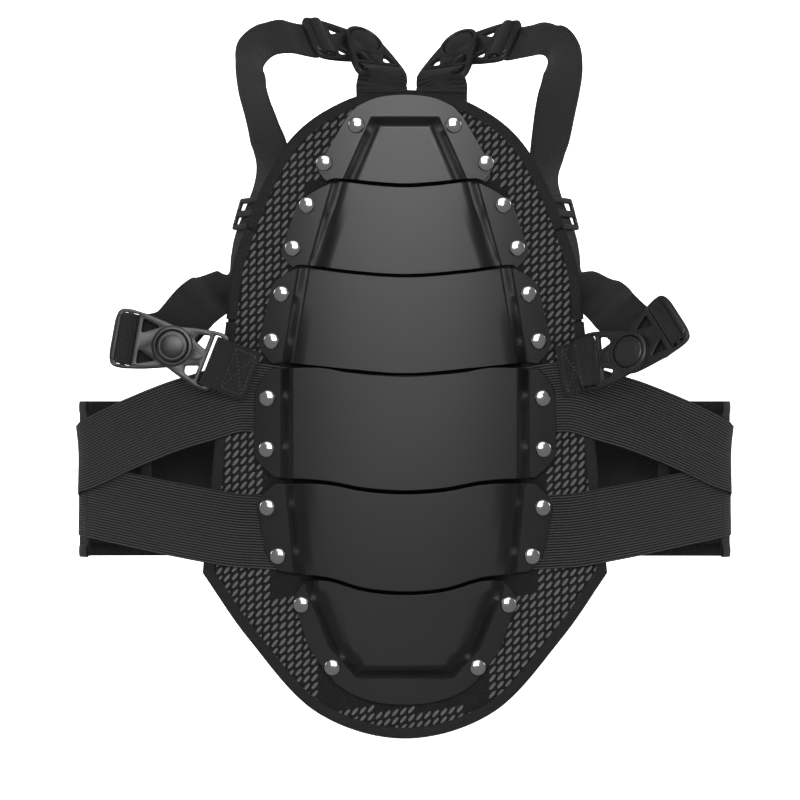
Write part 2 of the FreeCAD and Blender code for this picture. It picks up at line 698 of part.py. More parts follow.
def make_adjuster(side):
    """The three-bar slide that sets the strap's length, lying on its straight stretch."""
    (upper, across), (lower, same) = SHOULDER_STRAP[side][-2:]
    along = unit(V(*upper) - V(*lower))
    width = unit(V(*across))
    outward = unit(along.cross(width))
    if outward.x * upper[0] < 0:
        outward = outward * -1
    length, height, thickness = ADJUSTER_SIZE
    offset = WEBBING_THICKNESS / 2 + ADJUSTER_GAP
    centre = V(*upper) + (V(*lower) - V(*upper)) * ADJUSTER_POSITION + outward * offset
    solid = Part.makeBox(length, height, thickness, V(-length / 2, -height / 2, 0))
    slot_length, slot_height = ADJUSTER_SLOT
    for start in (ADJUSTER_BAR_HALF, -ADJUSTER_BAR_HALF - slot_height):
        corner = V(-slot_length / 2, start, -1)
        solid = solid.cut(Part.makeBox(slot_length, slot_height, thickness + 2, corner))
    export("strap_adjuster_" + side, placed(solid, facing(centre, outward, width)))


def make_straps():
    """Everything made of webbing, and the slides on it."""
    for side in ("left", "right"):
        make_top_anchor(side)
        make_side_anchor(side)
        make_strap_ends(side)
        strap = ribbon(SHOULDER_STRAP[side], WEBBING_WIDTH, WEBBING_THICKNESS)
        export("shoulder_strap_" + side, strap)
        export("lower_strap_" + side, ribbon(LOWER_STRAP[side], WEBBING_WIDTH, WEBBING_THICKNESS))
        make_adjuster(side)


os.makedirs("parts", exist_ok=True)
make_pad()
for plate_number in PLATES:
    make_plate(plate_number)
make_belt()
make_buckles()
make_straps()
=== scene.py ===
from math import cos, hypot, pi, radians, sin, sqrt

import bmesh
import bpy
from mathutils import Matrix, Vector


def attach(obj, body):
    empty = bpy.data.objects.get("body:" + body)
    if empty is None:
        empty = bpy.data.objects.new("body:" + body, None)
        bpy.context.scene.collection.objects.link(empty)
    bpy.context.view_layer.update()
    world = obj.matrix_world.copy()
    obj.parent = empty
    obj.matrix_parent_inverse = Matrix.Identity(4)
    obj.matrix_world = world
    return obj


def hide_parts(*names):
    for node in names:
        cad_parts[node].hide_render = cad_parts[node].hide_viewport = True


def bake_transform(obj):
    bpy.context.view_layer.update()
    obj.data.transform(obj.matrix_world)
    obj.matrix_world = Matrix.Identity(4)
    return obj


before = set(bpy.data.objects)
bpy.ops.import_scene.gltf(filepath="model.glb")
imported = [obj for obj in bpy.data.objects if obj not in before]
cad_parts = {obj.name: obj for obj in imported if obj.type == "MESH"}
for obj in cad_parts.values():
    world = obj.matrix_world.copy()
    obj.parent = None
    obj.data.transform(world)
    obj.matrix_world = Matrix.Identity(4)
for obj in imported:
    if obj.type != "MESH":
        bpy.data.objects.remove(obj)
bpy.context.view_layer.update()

MM = 0.001
SHARP_ANGLE = 48

# --- the pad and its layers, metres ------------------------------------------------------
BACK_RADIUS = 0.500
PAD_INNER_RADIUS = 0.5003
PAD_OUTER_RADIUS = 0.5173
BINDING_WIDTH = 0.0068
BINDING_THICKNESS = 0.0012
PAD_UPPER_EDGE = [(0, 240), (47, 231), (90, 197), (124, 122), (133, 63), (142, -33), (150, -118)]
PAD_LOWER_EDGE = [(150, -118), (115, -167), (65, -220), (0, -239)]

# --- sections of the pad that bend against each other --------------------------------------
SECTIONS = {
    1: "shoulder_section",
    2: "upper_back_section",
    3: "mid_back_section",
    4: "lumbar_section",
    5: "sacral_section",
    6: "tail_section",
}
CUT_Z = {1: 0.260, 2: 0.1395, 3: 0.070, 4: -0.0105, 5: -0.0905, 6: -0.260}

# --- plates --------------------------------------------------------------------------------
PLATE_THICKNESS = 0.0024
PLATE_RISE = 0.009
PLATE_ROWS = 96
WALL_DRAFT = 7.0
SEAT_ON_MESH = 0.5178
SEAT_ON_BAND = 0.5195
SEAT_ON_WEBBING = 0.5208
PLATES = {
    1: {
        "seat": SEAT_ON_WEBBING,
        "top": [(0, 237.5), (20, 235.5), (35, 229.5)],
        "side": [(35, 229.5), (42, 223), (66.5, 181), (58.5, 173.6)],
        "bottom": [(58.5, 173.6), (50, 175.4), (24, 172.5), (0, 171)],
        "raised": [(24.5, 221), (52, 160)],
        "rivets": [(36, 215), (60, 187)],
    },
    2: {
        "seat": SEAT_ON_MESH,
        "top": [(0, 168.3), (24, 169.8), (50, 172.7), (61, 169.5)],
        "side": [(61, 169.5), (79, 160), (93.5, 118), (83, 109.6)],
        "bottom": [(83, 109.6), (76, 111.6), (40, 107), (0, 104.3)],
        "raised": [(50, 185), (53.7, 172), (78, 112), (82, 95)],
        "rivets": [(73, 156), (83.5, 124)],
    },
    3: {
        "seat": SEAT_ON_MESH,
        "top": [(0, 101.6), (40, 104.3), (76, 108.9), (86, 106.6)],
        "side": [(86, 106.6), (98, 100), (110.3, 49), (98.5, 38.2)],
        "bottom": [(98.5, 38.2), (88, 39), (45, 34.5), (0, 31)],
        "raised": [(76, 125), (79.2, 106), (91.4, 39), (93, 20)],
        "rivets": [(92, 90), (99.5, 55)],
    },
    4: {
        "seat": SEAT_ON_BAND,
        "top": [(0, 28.4), (45, 31.7), (62, 34.9), (99, 34.1)],
        "side": [(99, 34.5), (111.5, 22), (113, -34), (97, -46.6)],
        "bottom": [(97, -46.6), (60, -48.6), (30, -54), (0, -56)],
        "raised": [(91.4, 55), (91.4, -70)],
        "rivets": [(102.5, 12.5), (103, -25.5)],
    },
    5: {
        "seat": SEAT_ON_BAND,
        "top": [(0, -58.7), (30, -56.7), (60, -51.3), (97, -51.2)],
        "side": [(97, -51.2), (111, -63), (103, -106), (93, -116.5)],
        "bottom": [(93, -116.5), (57, -120.3), (30, -128), (0, -130.6)],
        "raised": [(91.4, -35), (91.4, -55), (82, -118), (80, -140)],
        "rivets": [(102.5, -69), (94.5, -105)],
    },
    6: {
        "seat": SEAT_ON_MESH,
        "top": [(0, -133.3), (30, -130.7), (57, -123), (73, -123.5)],
        "side": [(73, -123.5), (84.5, -135), (70, -177), (51, -200)],
        "bottom": [(51, -200), (38, -208), (20, -213.5), (0, -215)],
        "raised": [(74, -110), (72.5, -130), (55.5, -172), (36, -194)],
        "rivets": [(77, -141), (54, -187.5)],
    },
}

# --- straps, belt and buckles, millimetres as in the design ---------------------------------
WEBBING_WIDTH = 38.0
WEBBING_THICKNESS = 1.5
BUCKLES = {
    "top_left": ((-32, 5.5, 277), (0.45, -0.55, 0.70), (0.39, -0.59, -0.71), (-0.84, -0.53, 0.12)),
    "top_right": ((42, 5.5, 275), (-0.45, -0.55, 0.70), (-0.39, -0.59, -0.71), (0.84, -0.53, 0.12)),
    "side_left": ((-173, -7, 51), (-0.05, -1.0, 0.05), (0.93, -0.03, -0.36), (-0.985, 0.05, 0.17)),
    "side_right": ((167, -30, 46), (-0.55, -0.80, 0.22), (-0.83, 0.51, -0.22), (0.71, -0.32, 0.63)),
}
SHOULDER_STRAP = {
    "left": [
        ((-89.5, -25.5, 280.3), (0.305, -0.642, -0.70)),
        ((-103, -27, 277), (0.45, -0.70, -0.55)),
        ((-113, -19, 268), (0.55, -0.78, -0.30)),
        ((-115, -5, 255), (0.52, -0.85, -0.1)),
        ((-113, 8, 240), (0.52, -0.85, 0)),
        ((-108, 21, 223), (0.6, -0.8, 0)),
        ((-103, 30, 206), (0.7, -0.7, 0)),
        ((-102, 37, 192), (0.65, -0.75, 0)),
        ((-108, 43, 172), (0.4, -0.92, 0)),
        ((-121, 47, 138), (0.4, -0.92, 0)),
    ],
    "right": [
        ((99.5, -25.5, 278.3), (-0.305, -0.642, -0.70)),
        ((110, -28, 276), (-0.5, -0.70, -0.5)),
        ((116, -20, 267), (-0.65, -0.70, -0.25)),
        ((117, -6, 254), (-0.74, -0.66, -0.1)),
        ((115, 8, 240), (-0.78, -0.62, 0)),
        ((112.5, 21, 224), (-0.78, -0.62, 0)),
        ((110, 31, 207), (-0.75, -0.65, 0)),
        ((108, 38, 192), (-0.65, -0.75, 0)),
        ((110, 43, 172), (-0.4, -0.92, 0)),
        ((122, 47, 138), (-0.4, -0.92, 0)),
    ],
}
LOWER_STRAP = {
    "left": [
        ((-121, 47, 138), (0.4, -0.92, 0)),
        ((-124, 46, 122), (0.41, -0.9, -0.05)),
        ((-125, 43, 110), (0.42, -0.88, -0.1)),
        ((-129, 38, 103), (0.5, -0.7, -0.35)),
        ((-143.5, 30, 92.5), (0.45, -0.55, -0.7)),
        ((-156, 3, 81.6), (0.67, 0, -0.74)),
    ],
    "right": [
        ((122, 47, 138), (-0.4, -0.92, 0)),
        ((125, 47, 122), (-0.41, -0.9, -0.05)),
        ((126, 45, 110), (-0.42, -0.88, -0.1)),
        ((131, 41, 104), (-0.5, -0.7, -0.35)),
        ((143, 31, 93), (-0.45, -0.6, -0.6)),
        ((152, 11, 84), (-0.55, -0.35, -0.7)),
        ((158.5, -7, 75.5), (-0.71, 0.32, -0.63)),
    ],
}
TOP_STRAP_END = [(-66, -6.4), (-52, -6.5), (-44, -6.4), (-40.6, -4.6), (-40.2, -1.5), (-38.4, 1.5),
    (-35, 2.5)]
TOP_STRAP_END += [(-31.8, 1.5), (-30.2, -1.5), (-30.2, -4.4)]
SIDE_STRAP_APPROACH = {
    "side_left": [((8, 24, -6.4), (-0.79, 0.61, 0)), ((-3, 11, -6.4), (-0.6, 0.8, 0)),
        ((-20, 2, -6.6), (-0.2, 1, 0))],
    "side_right": [((-5, -26, -6.4), (1, 0, 0)), ((-13, -8, -6.4), (0.7, 0.7, 0)),
        ((-22, 0, -6.6), (0, 1, 0))],
}
STRAP_TURN = [(-30, -6.8), (-37, -6.8), (-40.3, -5.2), (-40.4, -1.5), (-38.4, 1.5), (-35, 2.5)]
STRAP_TURN += [(-31.8, 1.5), (-30.2, -1.5), (-30.2, -4.4)]
ANCHOR_LOOP = [(40, -1.6), (31.5, -1.3), (29.8, 2.3), (31.5, 6.0), (40, 6.2)]
BAND_RADIUS = 518.57
BAND_PAD_REACH = 112.0
UPPER_BAND_RUN = [(128, -3.9, 12.5), (150, 2.4, 6), (176, 12, -2), (212, 29, -16.5), (238, 44.5, -29)]
LOWER_BAND_RUN = [(128, -3.9, -86), (150, 2.4, -82.5), (176, 14, -78), (212, 32, -71), (238, 48, -66)]


# --- shapes ----------------------------------------------------------------------------------
def depth(radius, x):
    """Depth Y of a pad layer of that radius at a distance x from the middle."""
    return BACK_RADIUS - sqrt(radius * radius - x * x)


def blend_points(a, b, c, d, t):
    """A point between b and c on the smooth curve through the four."""
    return 0.5 * (2 * b + (c - a) * t + (2 * a - 5 * b + 4 * c - d) * t * t
        + (3 * b - a - 3 * c + d) * t ** 3)


def along(points, share):
    """The point at that share of a smooth curve through the points."""
    spans = len(points) - 1
    place = min(max(share, 0), 1) * spans
    index = min(int(place), spans - 1)
    before = points[index - 1] if index else points[0] * 2 - points[1]
    after = points[index + 2] if index + 2 <= spans else points[-1] * 2 - points[-2]
    return blend_points(before, points[index], points[index + 1], after, place - index)


def even(points, count=200):
    """The same smooth curve as evenly spaced points."""
    dense = [along(points, step / 400) for step in range(401)]
    lengths = [0.0]
    for a, b in zip(dense, dense[1:]):
        lengths.append(lengths[-1] + (b - a).length)
    result = []
    index = 0
    for step in range(count + 1):
        goal = lengths[-1] * step / count
        while index < 399 and lengths[index + 1] < goal:
            index += 1
        span = lengths[index + 1] - lengths[index]
        share = (goal - lengths[index]) / span if span else 0
        result.append(dense[index].lerp(dense[index + 1], min(max(share, 0), 1)))
    return result


def value_at(points, x):
    """The smooth curve's second value where its first value is x."""
    for a, b in zip(points, points[1:]):
        if min(a.x, b.x) - 1e-9 <= x <= max(a.x, b.x) + 1e-9:
            share = (x - a.x) / (b.x - a.x) if abs(b.x - a.x) > 1e-9 else 0
            return a.y + (b.y - a.y) * share
    return points[0].y if abs(x - points[0].x) < abs(x - points[-1].x) else points[-1].y


def block(columns, rows):
    """A closed block of that many faces across and along, its corners at 0 and 1."""
    bm = bmesh.new()
    bmesh.ops.create_grid(bm, x_segments=columns, y_segments=rows, size=0.5)
    bmesh.ops.translate(bm, verts=bm.verts, vec=(0.5, 0.5, 0))
    grown = bmesh.ops.extrude_face_region(bm, geom=bm.faces[:])
    top = [item for item in grown["geom"] if isinstance(item, bmesh.types.BMVert)]
    bmesh.ops.translate(bm, verts=top, vec=(0, 0, 1))
    return bm


def form(bm, place, width=1.0, length=1.0):
    """Moves each corner of the block to its place, and lays a UV map in metres."""
    uv = bm.loops.layers.uv.verify()
    for face in bm.faces:
        for loop in face.loops:
            loop[uv].uv = (loop.vert.co.x * width, loop.vert.co.y * length)
    for vert in bm.verts:
        vert.co = place(*vert.co)
    bmesh.ops.recalc_face_normals(bm, faces=bm.faces)
    return bm


def piece(bm, name, material):
    """A finished mesh object in the scene."""
    mesh = bpy.data.meshes.new(name)
    bm.to_mesh(mesh)
    bm.free()
    item = bpy.data.objects.new(name, mesh)
    bpy.context.collection.objects.link(item)
    mesh.materials.append(material)
    for polygon in mesh.polygons:
        polygon.use_smooth = True
    mesh.set_sharp_from_angle(angle=radians(SHARP_ANGLE))
    return item


def round_edges(item, width, segments=2, angle=50):
    """Rounds the sharp edges of a piece and keeps its flats flat."""
    bevel = item.modifiers.new("rounded", "BEVEL")
    bevel.width = width
    bevel.segments = segments
    bevel.limit_method = "ANGLE"
    bevel.angle_limit = radians(angle)
    bevel.harden_normals = False
    bevel.use_clamp_overlap = True
    return item


# --- materials -------------------------------------------------------------------------------
class Finish:
    """A material's node tree, built a node at a time."""

    def __init__(self, name, colour, roughness, metallic=0.0, specular=0.5):
        self.material = bpy.data.materials.new(name)
        self.material.use_nodes = True
        self.tree = self.material.node_tree
        self.shader = self.tree.nodes["Principled BSDF"]
        self.shader.inputs["Base Color"].default_value = (*colour, 1)
        self.shader.inputs["Roughness"].default_value = roughness
        self.shader.inputs["Metallic"].default_value = metallic
        self.shader.inputs["Specular IOR Level"].default_value = specular
        self.position = None

    def node(self, kind, **values):
        node = self.tree.nodes.new(kind)
        for key, value in values.items():
            if hasattr(node, key):
                setattr(node, key, value)
            else:
                node.inputs[key.replace("_", " ").title()].default_value = value
        return node

    def join(self, start, end):
        self.tree.links.new(start, end)
        return end.node

    def place(self, output="Object", scale=(1, 1, 1), turn=0.0):
        """Coordinates of the surface, scaled and turned."""
        source = self.node("ShaderNodeTexCoord")
        mapping = self.node("ShaderNodeMapping")
        mapping.inputs["Scale"].default_value = scale
        mapping.inputs["Rotation"].default_value = (0, 0, turn)
        self.join(source.outputs[output], mapping.inputs["Vector"])
        return mapping.outputs["Vector"]

    def noise(self, vector, scale, detail=3.0, roughness=0.5):
        node = self.node("ShaderNodeTexNoise")
        node.inputs["Scale"].default_value = scale
        node.inputs["Detail"].default_value = detail
        node.inputs["Roughness"].default_value = roughness
        self.join(vector, node.inputs["Vector"])
        return node.outputs["Fac"]

    def wave(self, vector, scale, direction="X", distortion=0.0):
        node = self.node("ShaderNodeTexWave")
        node.bands_direction = direction
        node.inputs["Scale"].default_value = scale
        node.inputs["Distortion"].default_value = distortion
        self.join(vector, node.inputs["Vector"])
        return node.outputs["Fac"]

    def math(self, operation, first, second):
        node = self.node("ShaderNodeMath")
        node.operation = operation
        for index, value in enumerate((first, second)):
            if isinstance(value, (int, float)):
                node.inputs[index].default_value = value
            else:
                self.join(value, node.inputs[index])
        return node.outputs["Value"]

    def ramp(self, value, stops):
        node = self.node("ShaderNodeValToRGB")
        ramp = node.color_ramp
        while len(ramp.elements) < len(stops):
            ramp.elements.new(0.5)
        for element, (position, colour) in zip(ramp.elements, stops):
            element.position = position
            element.color = (*colour, 1)
        self.join(value, node.inputs["Fac"])
        return node.outputs["Color"]

    def range(self, value, low, high):
        node = self.node("ShaderNodeMapRange")
        node.inputs["To Min"].default_value = low
        node.inputs["To Max"].default_value = high
        self.join(value, node.inputs["Value"])
        return node.outputs["Result"]

    def colour(self, value):
        self.join(value, self.shader.inputs["Base Color"])
        return self

    def roughness(self, value):
        self.join(value, self.shader.inputs["Roughness"])
        return self

    def bump(self, value, strength, distance):
        node = self.node("ShaderNodeBump")
        node.inputs["Strength"].default_value = strength
        node.inputs["Distance"].default_value = distance
        self.join(value, node.inputs["Height"])
        if self.shader.inputs["Normal"].is_linked:
            old = self.shader.inputs["Normal"].links[0].from_socket
            self.join(old, node.inputs["Normal"])
        self.join(node.outputs["Normal"], self.shader.inputs["Normal"])
        return self


def grey(value, tint=0.0):
    """A grey, a little cooler with a tint."""
    return (value, value, value * (1 + tint))


def plate_plastic():
    finish = Finish("plate_plastic", grey(0.010, 0.1), 0.36)
    place = finish.place()
    grain = finish.noise(place, 1400, 2)
    cloud = finish.noise(place, 9, 3)
    finish.roughness(finish.range(cloud, 0.27, 0.34))
    finish.colour(finish.ramp(cloud, [(0.3, grey(0.004, 0.1)), (0.75, grey(0.006, 0.1))]))
    finish.bump(grain, 0.12, 0.0002)
    return finish.material


def chrome():
    finish = Finish("rivet_chrome", grey(0.80), 0.13, 1.0)
    place = finish.place()
    finish.roughness(finish.range(finish.noise(place, 300, 2), 0.08, 0.20))
    return finish.material


def buckle_plastic():
    finish = Finish("buckle_plastic", grey(0.012, 0.1), 0.3)
    place = finish.place()
    cloud = finish.noise(place, 40, 3)
    finish.roughness(finish.range(cloud, 0.24, 0.40))
    finish.colour(finish.ramp(cloud, [(0.3, grey(0.010)), (0.8, grey(0.020))]))
    finish.bump(finish.noise(place, 1800, 2), 0.10, 0.0002)
    return finish.material


def webbing():
    finish = Finish("webbing", grey(0.012), 0.85, 0, 0.25)
    surface = finish.place("UV")
    ribs = finish.wave(surface, 220, "Y")
    yarns = finish.wave(surface, 380, "X")
    weave = finish.math("MULTIPLY", ribs, yarns)
    fuzz = finish.noise(finish.place(), 900, 3)
    mixed = finish.math("ADD", weave, finish.math("MULTIPLY", fuzz, 0.5))
    finish.colour(finish.ramp(mixed, [(0.15, grey(0.003)), (0.9, grey(0.024))]))
    finish.bump(weave, 0.6, 0.0006)
    finish.bump(fuzz, 0.25, 0.0003)
    finish.shader.inputs["Sheen Weight"].default_value = 0.06
    return finish.material


def elastic():
    finish = Finish("ribbed_elastic", grey(0.012), 0.9, 0, 0.2)
    surface = finish.place("UV")
    ribs = finish.wave(surface, 157.08, "X")
    across = finish.wave(surface, 300, "Y")
    fuzz = finish.noise(finish.place(), 900, 3)
    dots = finish.math("MULTIPLY", across, fuzz)
    mixed = finish.math("MULTIPLY", ribs, finish.math("ADD", dots, 0.35))
    finish.colour(finish.ramp(mixed, [(0.08, grey(0.002)), (0.75, grey(0.055))]))
    finish.bump(across, 0.5, 0.0004)
    finish.bump(fuzz, 0.3, 0.0003)
    finish.shader.inputs["Sheen Weight"].default_value = 0.04
    return finish.material


def net_fabric():
    finish = Finish("mesh_fabric", grey(0.010), 0.9, 0, 0.2)
    place = finish.place()
    cells = finish.node("ShaderNodeTexVoronoi")
    cells.inputs["Scale"].default_value = 900
    finish.join(place, cells.inputs["Vector"])
    holes = cells.outputs["Distance"]
    finish.colour(finish.ramp(holes, [(0.1, grey(0.002)), (0.6, grey(0.010))]))
    finish.bump(holes, 0.6, 0.0005)
    return finish.material


def lozenge_yarn():
    finish = Finish("lozenge_yarn", grey(0.055), 0.75, 0, 0.3)
    place = finish.place()
    threads = finish.wave(place, 330, "DIAGONAL", 1.0)
    finish.colour(finish.ramp(threads, [(0.2, grey(0.045)), (0.9, grey(0.14))]))
    finish.bump(threads, 0.5, 0.0003)
    return finish.material


def binding_tape():
    finish = Finish("binding_tape", grey(0.012), 0.85, 0, 0.25)
    place = finish.place()
    threads = finish.wave(place, 260, "Z")
    cross = finish.wave(place, 260, "X")
    weave = finish.math("MULTIPLY", threads, cross)
    finish.colour(finish.ramp(weave, [(0.1, grey(0.006)), (0.9, grey(0.026))]))
    finish.bump(weave, 0.4, 0.0004)
    return finish.material


def lining_fabric():
    finish = Finish("lining_fabric", grey(0.02), 0.9, 0, 0.2)
    place = finish.place()
    knit = finish.math("MULTIPLY", finish.wave(place, 160, "X"), finish.wave(place, 160, "Z"))
    finish.colour(finish.ramp(knit, [(0.1, grey(0.010)), (0.9, grey(0.040))]))
    finish.bump(knit, 0.5, 0.0005)
    return finish.material


def wing_fabric():
    finish = Finish("wing_fabric", grey(0.014), 0.85, 0, 0.2)
    surface = finish.place("UV")
    twill = finish.wave(surface, 420, "DIAGONAL")
    fuzz = finish.noise(finish.place(), 500, 3)
    finish.colour(finish.ramp(finish.math("ADD", twill, fuzz),
        [(0.3, grey(0.008)), (1.0, grey(0.026))]))
    finish.bump(twill, 0.4, 0.0003)
    return finish.material


def hook_pile():
    finish = Finish("hook_tape", grey(0.010), 0.95, 0, 0.2)
    place = finish.place()
    pile = finish.noise(place, 1300, 4, 0.7)
    finish.colour(finish.ramp(pile, [(0.3, grey(0.004)), (0.8, grey(0.040))]))
    finish.bump(pile, 0.9, 0.001)
    return finish.material


def sewing_thread():
    finish = Finish("thread", grey(0.03), 0.6)
    twist = finish.wave(finish.place(), 700, "DIAGONAL")
    finish.colour(finish.ramp(twist, [(0.2, grey(0.018)), (0.9, grey(0.055))]))
    return finish.material


MATERIALS = {
    "thread": sewing_thread(),
    "plate_plastic": plate_plastic(),
    "rivet_chrome": chrome(),
    "buckle_plastic": buckle_plastic(),
    "webbing": webbing(),
    "ribbed_elastic": elastic(),
    "mesh_fabric": net_fabric(),
    "lozenge_yarn": lozenge_yarn(),
    "binding_tape": binding_tape(),
    "lining_fabric": lining_fabric(),
    "wing_fabric": wing_fabric(),
    "hook_tape": hook_pile(),
}


# --- plates ----------------------------------------------------------------------------------
def points_xz(pairs):
    """Pairs of x and z as vectors, still in millimetres."""
    return [Vector((x, z, 0)) for x, z in pairs]


def mirrored(pairs):
    """The same points on the other side of the middle, in reverse order."""
    return [(-x, z) for x, z in reversed(pairs)]


def rounded_corner(a, b, c, t):
    """A point on the soft corner from a, past b, to c."""
    return a * (1 - t) ** 2 + b * 2 * t * (1 - t) + c * t * t


def plate_side(pairs):
    """A plate's right edge from its top corner down, evenly spaced."""
    start, upper, lower, end = points_xz(pairs)
    run_start = upper.lerp(lower, 0.12)
    run_end = lower.lerp(upper, 0.12)
    dense = [rounded_corner(start, upper, run_start, step / 20) for step in range(21)]
    dense += [run_start.lerp(run_end, step / 20) for step in range(1, 20)]
    dense += [rounded_corner(run_end, lower, end, step / 20) for step in range(21)]
    return even(dense, PLATE_ROWS)


def inward(plate, x, z):
    """How far inside the foot of the raised middle that place lies, in millimetres."""
    raised = plate["raised"]
    first, last = raised[0], raised[-1]
    nearest = min(first[1] - z, z - last[1])
    for (ax, az), (bx, bz) in zip(raised, raised[1:]):
        run = hypot(bx - ax, bz - az)
        nearest = min(nearest, ((bz - az) * (abs(x) - ax) - (bx - ax) * (z - az)) / run)
    return nearest


def swell(distance):
    """Height of a plate's face at that distance inside the foot of its wall."""
    share = min(max((distance + 0.6) / (WALL_DRAFT + 1.6), 0), 1)
    return PLATE_RISE * (0.45 * share + 0.55 * share * share * (3 - 2 * share))


def foot_at(plate, z):
    """Half width of the foot of the raised middle at that height."""
    raised = plate["raised"]
    for (ax, az), (bx, bz) in zip(raised, raised[1:]):
        if bz <= z <= az:
            return ax + (bx - ax) * (az - z) / max(az - bz, 1e-6)
    return raised[0][0] if z > raised[0][1] else raised[-1][0]


def knots(half_width, foot):
    """Columns across a plate: few on its flats, many on its walls."""
    outer = max(foot + 1.5, 0.3 * half_width)
    crest = max(foot - WALL_DRAFT - 2, 0.2 * half_width)
    outer = min(outer, half_width * 0.97)
    half = [half_width + (outer - half_width) * step / 5 for step in range(5)]
    half += [outer + (crest - outer) * step / 14 for step in range(14)]
    half += [crest * (1 - step / 9) for step in range(9)]
    return [-value for value in half] + [0.0] + half[::-1]


def make_plate(number):
    """One black moulded plate with flat flanges and a raised middle."""
    plate = PLATES[number]
    top = even(points_xz(mirrored(plate["top"])[:-1] + plate["top"]))
    bottom = even(points_xz(mirrored(plate["bottom"][::-1])[:-1] + plate["bottom"][::-1]))
    side = plate_side(plate["side"])
    rows = PLATE_ROWS
    grid = []
    for row in range(rows + 1):
        share = row / rows
        edge = side[rows - row]
        spread = knots(edge.x, foot_at(plate, edge.y))
        line = []
        for x in spread:
            s = x / edge.x
            high = value_at(top, s * top[-1].x)
            low = value_at(bottom, s * bottom[-1].x)
            fade = s * s
            flat = low + (high - low) * share
            z = flat + (edge.y - (bottom[-1].y + (top[-1].y - bottom[-1].y) * share))
            line.append((x, flat + (z - flat) * fade))
        grid.append(line)
    columns = len(grid[0]) - 1

    def place(u, v, w):
        x, z = grid[round(v * rows)][round(u * columns)]
        radius = plate["seat"] + w * PLATE_THICKNESS + swell(inward(plate, x, z))
        return Vector((x * MM, depth(radius, x * MM), z * MM))

    bm = form(block(columns, rows), place, 0.2, 0.07)
    item = piece(bm, "plate_" + str(number) + "_moulded", MATERIALS["plate_plastic"])
    round_edges(item, 0.0008, 3)
    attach(item, SECTIONS[number])
    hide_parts("plate_" + str(number))


def revolve(profile, steps=36):
    """A closed round part from its half profile of distance and height, metres."""
    bm = bmesh.new()
    verts = [bm.verts.new((x, 0, z)) for x, z in profile]
    edges = [bm.edges.new(pair) for pair in zip(verts, verts[1:])]
    full = {"angle": 2 * pi, "steps": steps, "use_merge": True, "use_duplicate": False}
    bmesh.ops.spin(bm, geom=verts + edges, cent=(0, 0, 0), axis=(0, 0, 1), **full)
    bmesh.ops.remove_doubles(bm, verts=bm.verts, dist=1e-7)
    bmesh.ops.recalc_face_normals(bm, faces=bm.faces)
    return bm


def outward_at(x, z, radius):
    """Where a rivet stands on the pad: local Z straight out of it."""
    out = Vector((x / radius, -sqrt(1 - (x / radius) ** 2), 0))
    base = Vector((0, BACK_RADIUS, z)) + out * radius
    side = Vector((0, 0, 1)).cross(out)
    turn = Matrix((side, Vector((0, 0, 1)), out)).transposed()
    return Matrix.Translation(base) @ turn.to_4x4()


def add_part(bm, part, place):
    """Adds a copy of a small part to a larger mesh."""
    mesh = bpy.data.meshes.new("part")
    part.to_mesh(mesh)
    mesh.transform(place)
    bm.from_mesh(mesh)
    bpy.data.meshes.remove(mesh)


RIVET_PROFILE = [(0.006 * sin(radians(a)), 0.0006 + 0.0022 * cos(radians(a))) for a in range(0, 91, 10)]
RIVET_PROFILE += [(0.0062, 0.0003), (0.0060, 0), (0.002, 0), (0.002, -0.003), (0, -0.003)]


def make_rivets(number):
    """The four chromed rivets of one plate."""
    plate = PLATES[number]
    bm = bmesh.new()
    rivet = revolve(RIVET_PROFILE)
    for side in (1, -1):
        for x, z in plate["rivets"]:
            radius = plate["seat"] + PLATE_THICKNESS + 0.00005
            add_part(bm, rivet, outward_at(side * x * MM, z * MM, radius))
    rivet.free()
    item = piece(bm, "plate_" + str(number) + "_rivet_caps", MATERIALS["rivet_chrome"])
    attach(item, SECTIONS[number])
    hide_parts("plate_" + str(number) + "_rivets")


for number in PLATES:
    make_plate(number)
    make_rivets(number)


# --- pad ---------------------------------------------------------------------------------------
RIGHT_EDGE = even(points_xz(mirrored(PAD_UPPER_EDGE)[:-1] + PAD_UPPER_EDGE), 400)[200:]
LOWER_EDGE = even(points_xz(PAD_LOWER_EDGE + mirrored(PAD_LOWER_EDGE)[1:]), 400)[:201]
OUTLINE = [Vector((p.y, p.x, 0)) for p in RIGHT_EDGE + LOWER_EDGE[1:]]


def half_width(z):
    """Half width of the pad at a height, metres."""
    return max(value_at(OUTLINE, z / MM), 0) * MM


def pad_rows(low, high, step=0.0025):
    """Heights across one piece of the pad, closer together at its round ends."""
    low = max(low, -0.239)
    high = min(high, 0.240)
    count = int((high - low) / step)
    rows = []
    for index in range(count + 1):
        share = index / count
        if high > 0.239:
            share = sin(share * pi / 2)
        if low < -0.238:
            share = 1 - cos(share * pi / 2)
        rows.append(low + (high - low) * share)
    return rows


PAD_PIECES = {
    1: ("upper_back_section", "shoulder_section", ["foam_block_1", "inner_lining"]),
    2: ("mid_back_section", "upper_back_section", ["foam_block_2", "outer_mesh_cover"]),
    3: ("lumbar_section", "mid_back_section", ["foam_block_3"]),
    4: ("sacral_section", "lumbar_section", ["foam_block_4"]),
    5: ("tail_section", "sacral_section", ["foam_block_5", "foam_block_6"]),
}


def bend(item, number):
    """Bakes a piece of the pad's placement into its mesh."""
    lower, upper, nodes = PAD_PIECES[number]
    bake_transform(item)


def piece_span(number):
    """Lower and upper height of one piece of the pad."""
    low = -0.260 if number == 5 else CUT_Z[number + 1]
    high = 0.260 if number == 1 else CUT_Z[number]
    return low, high


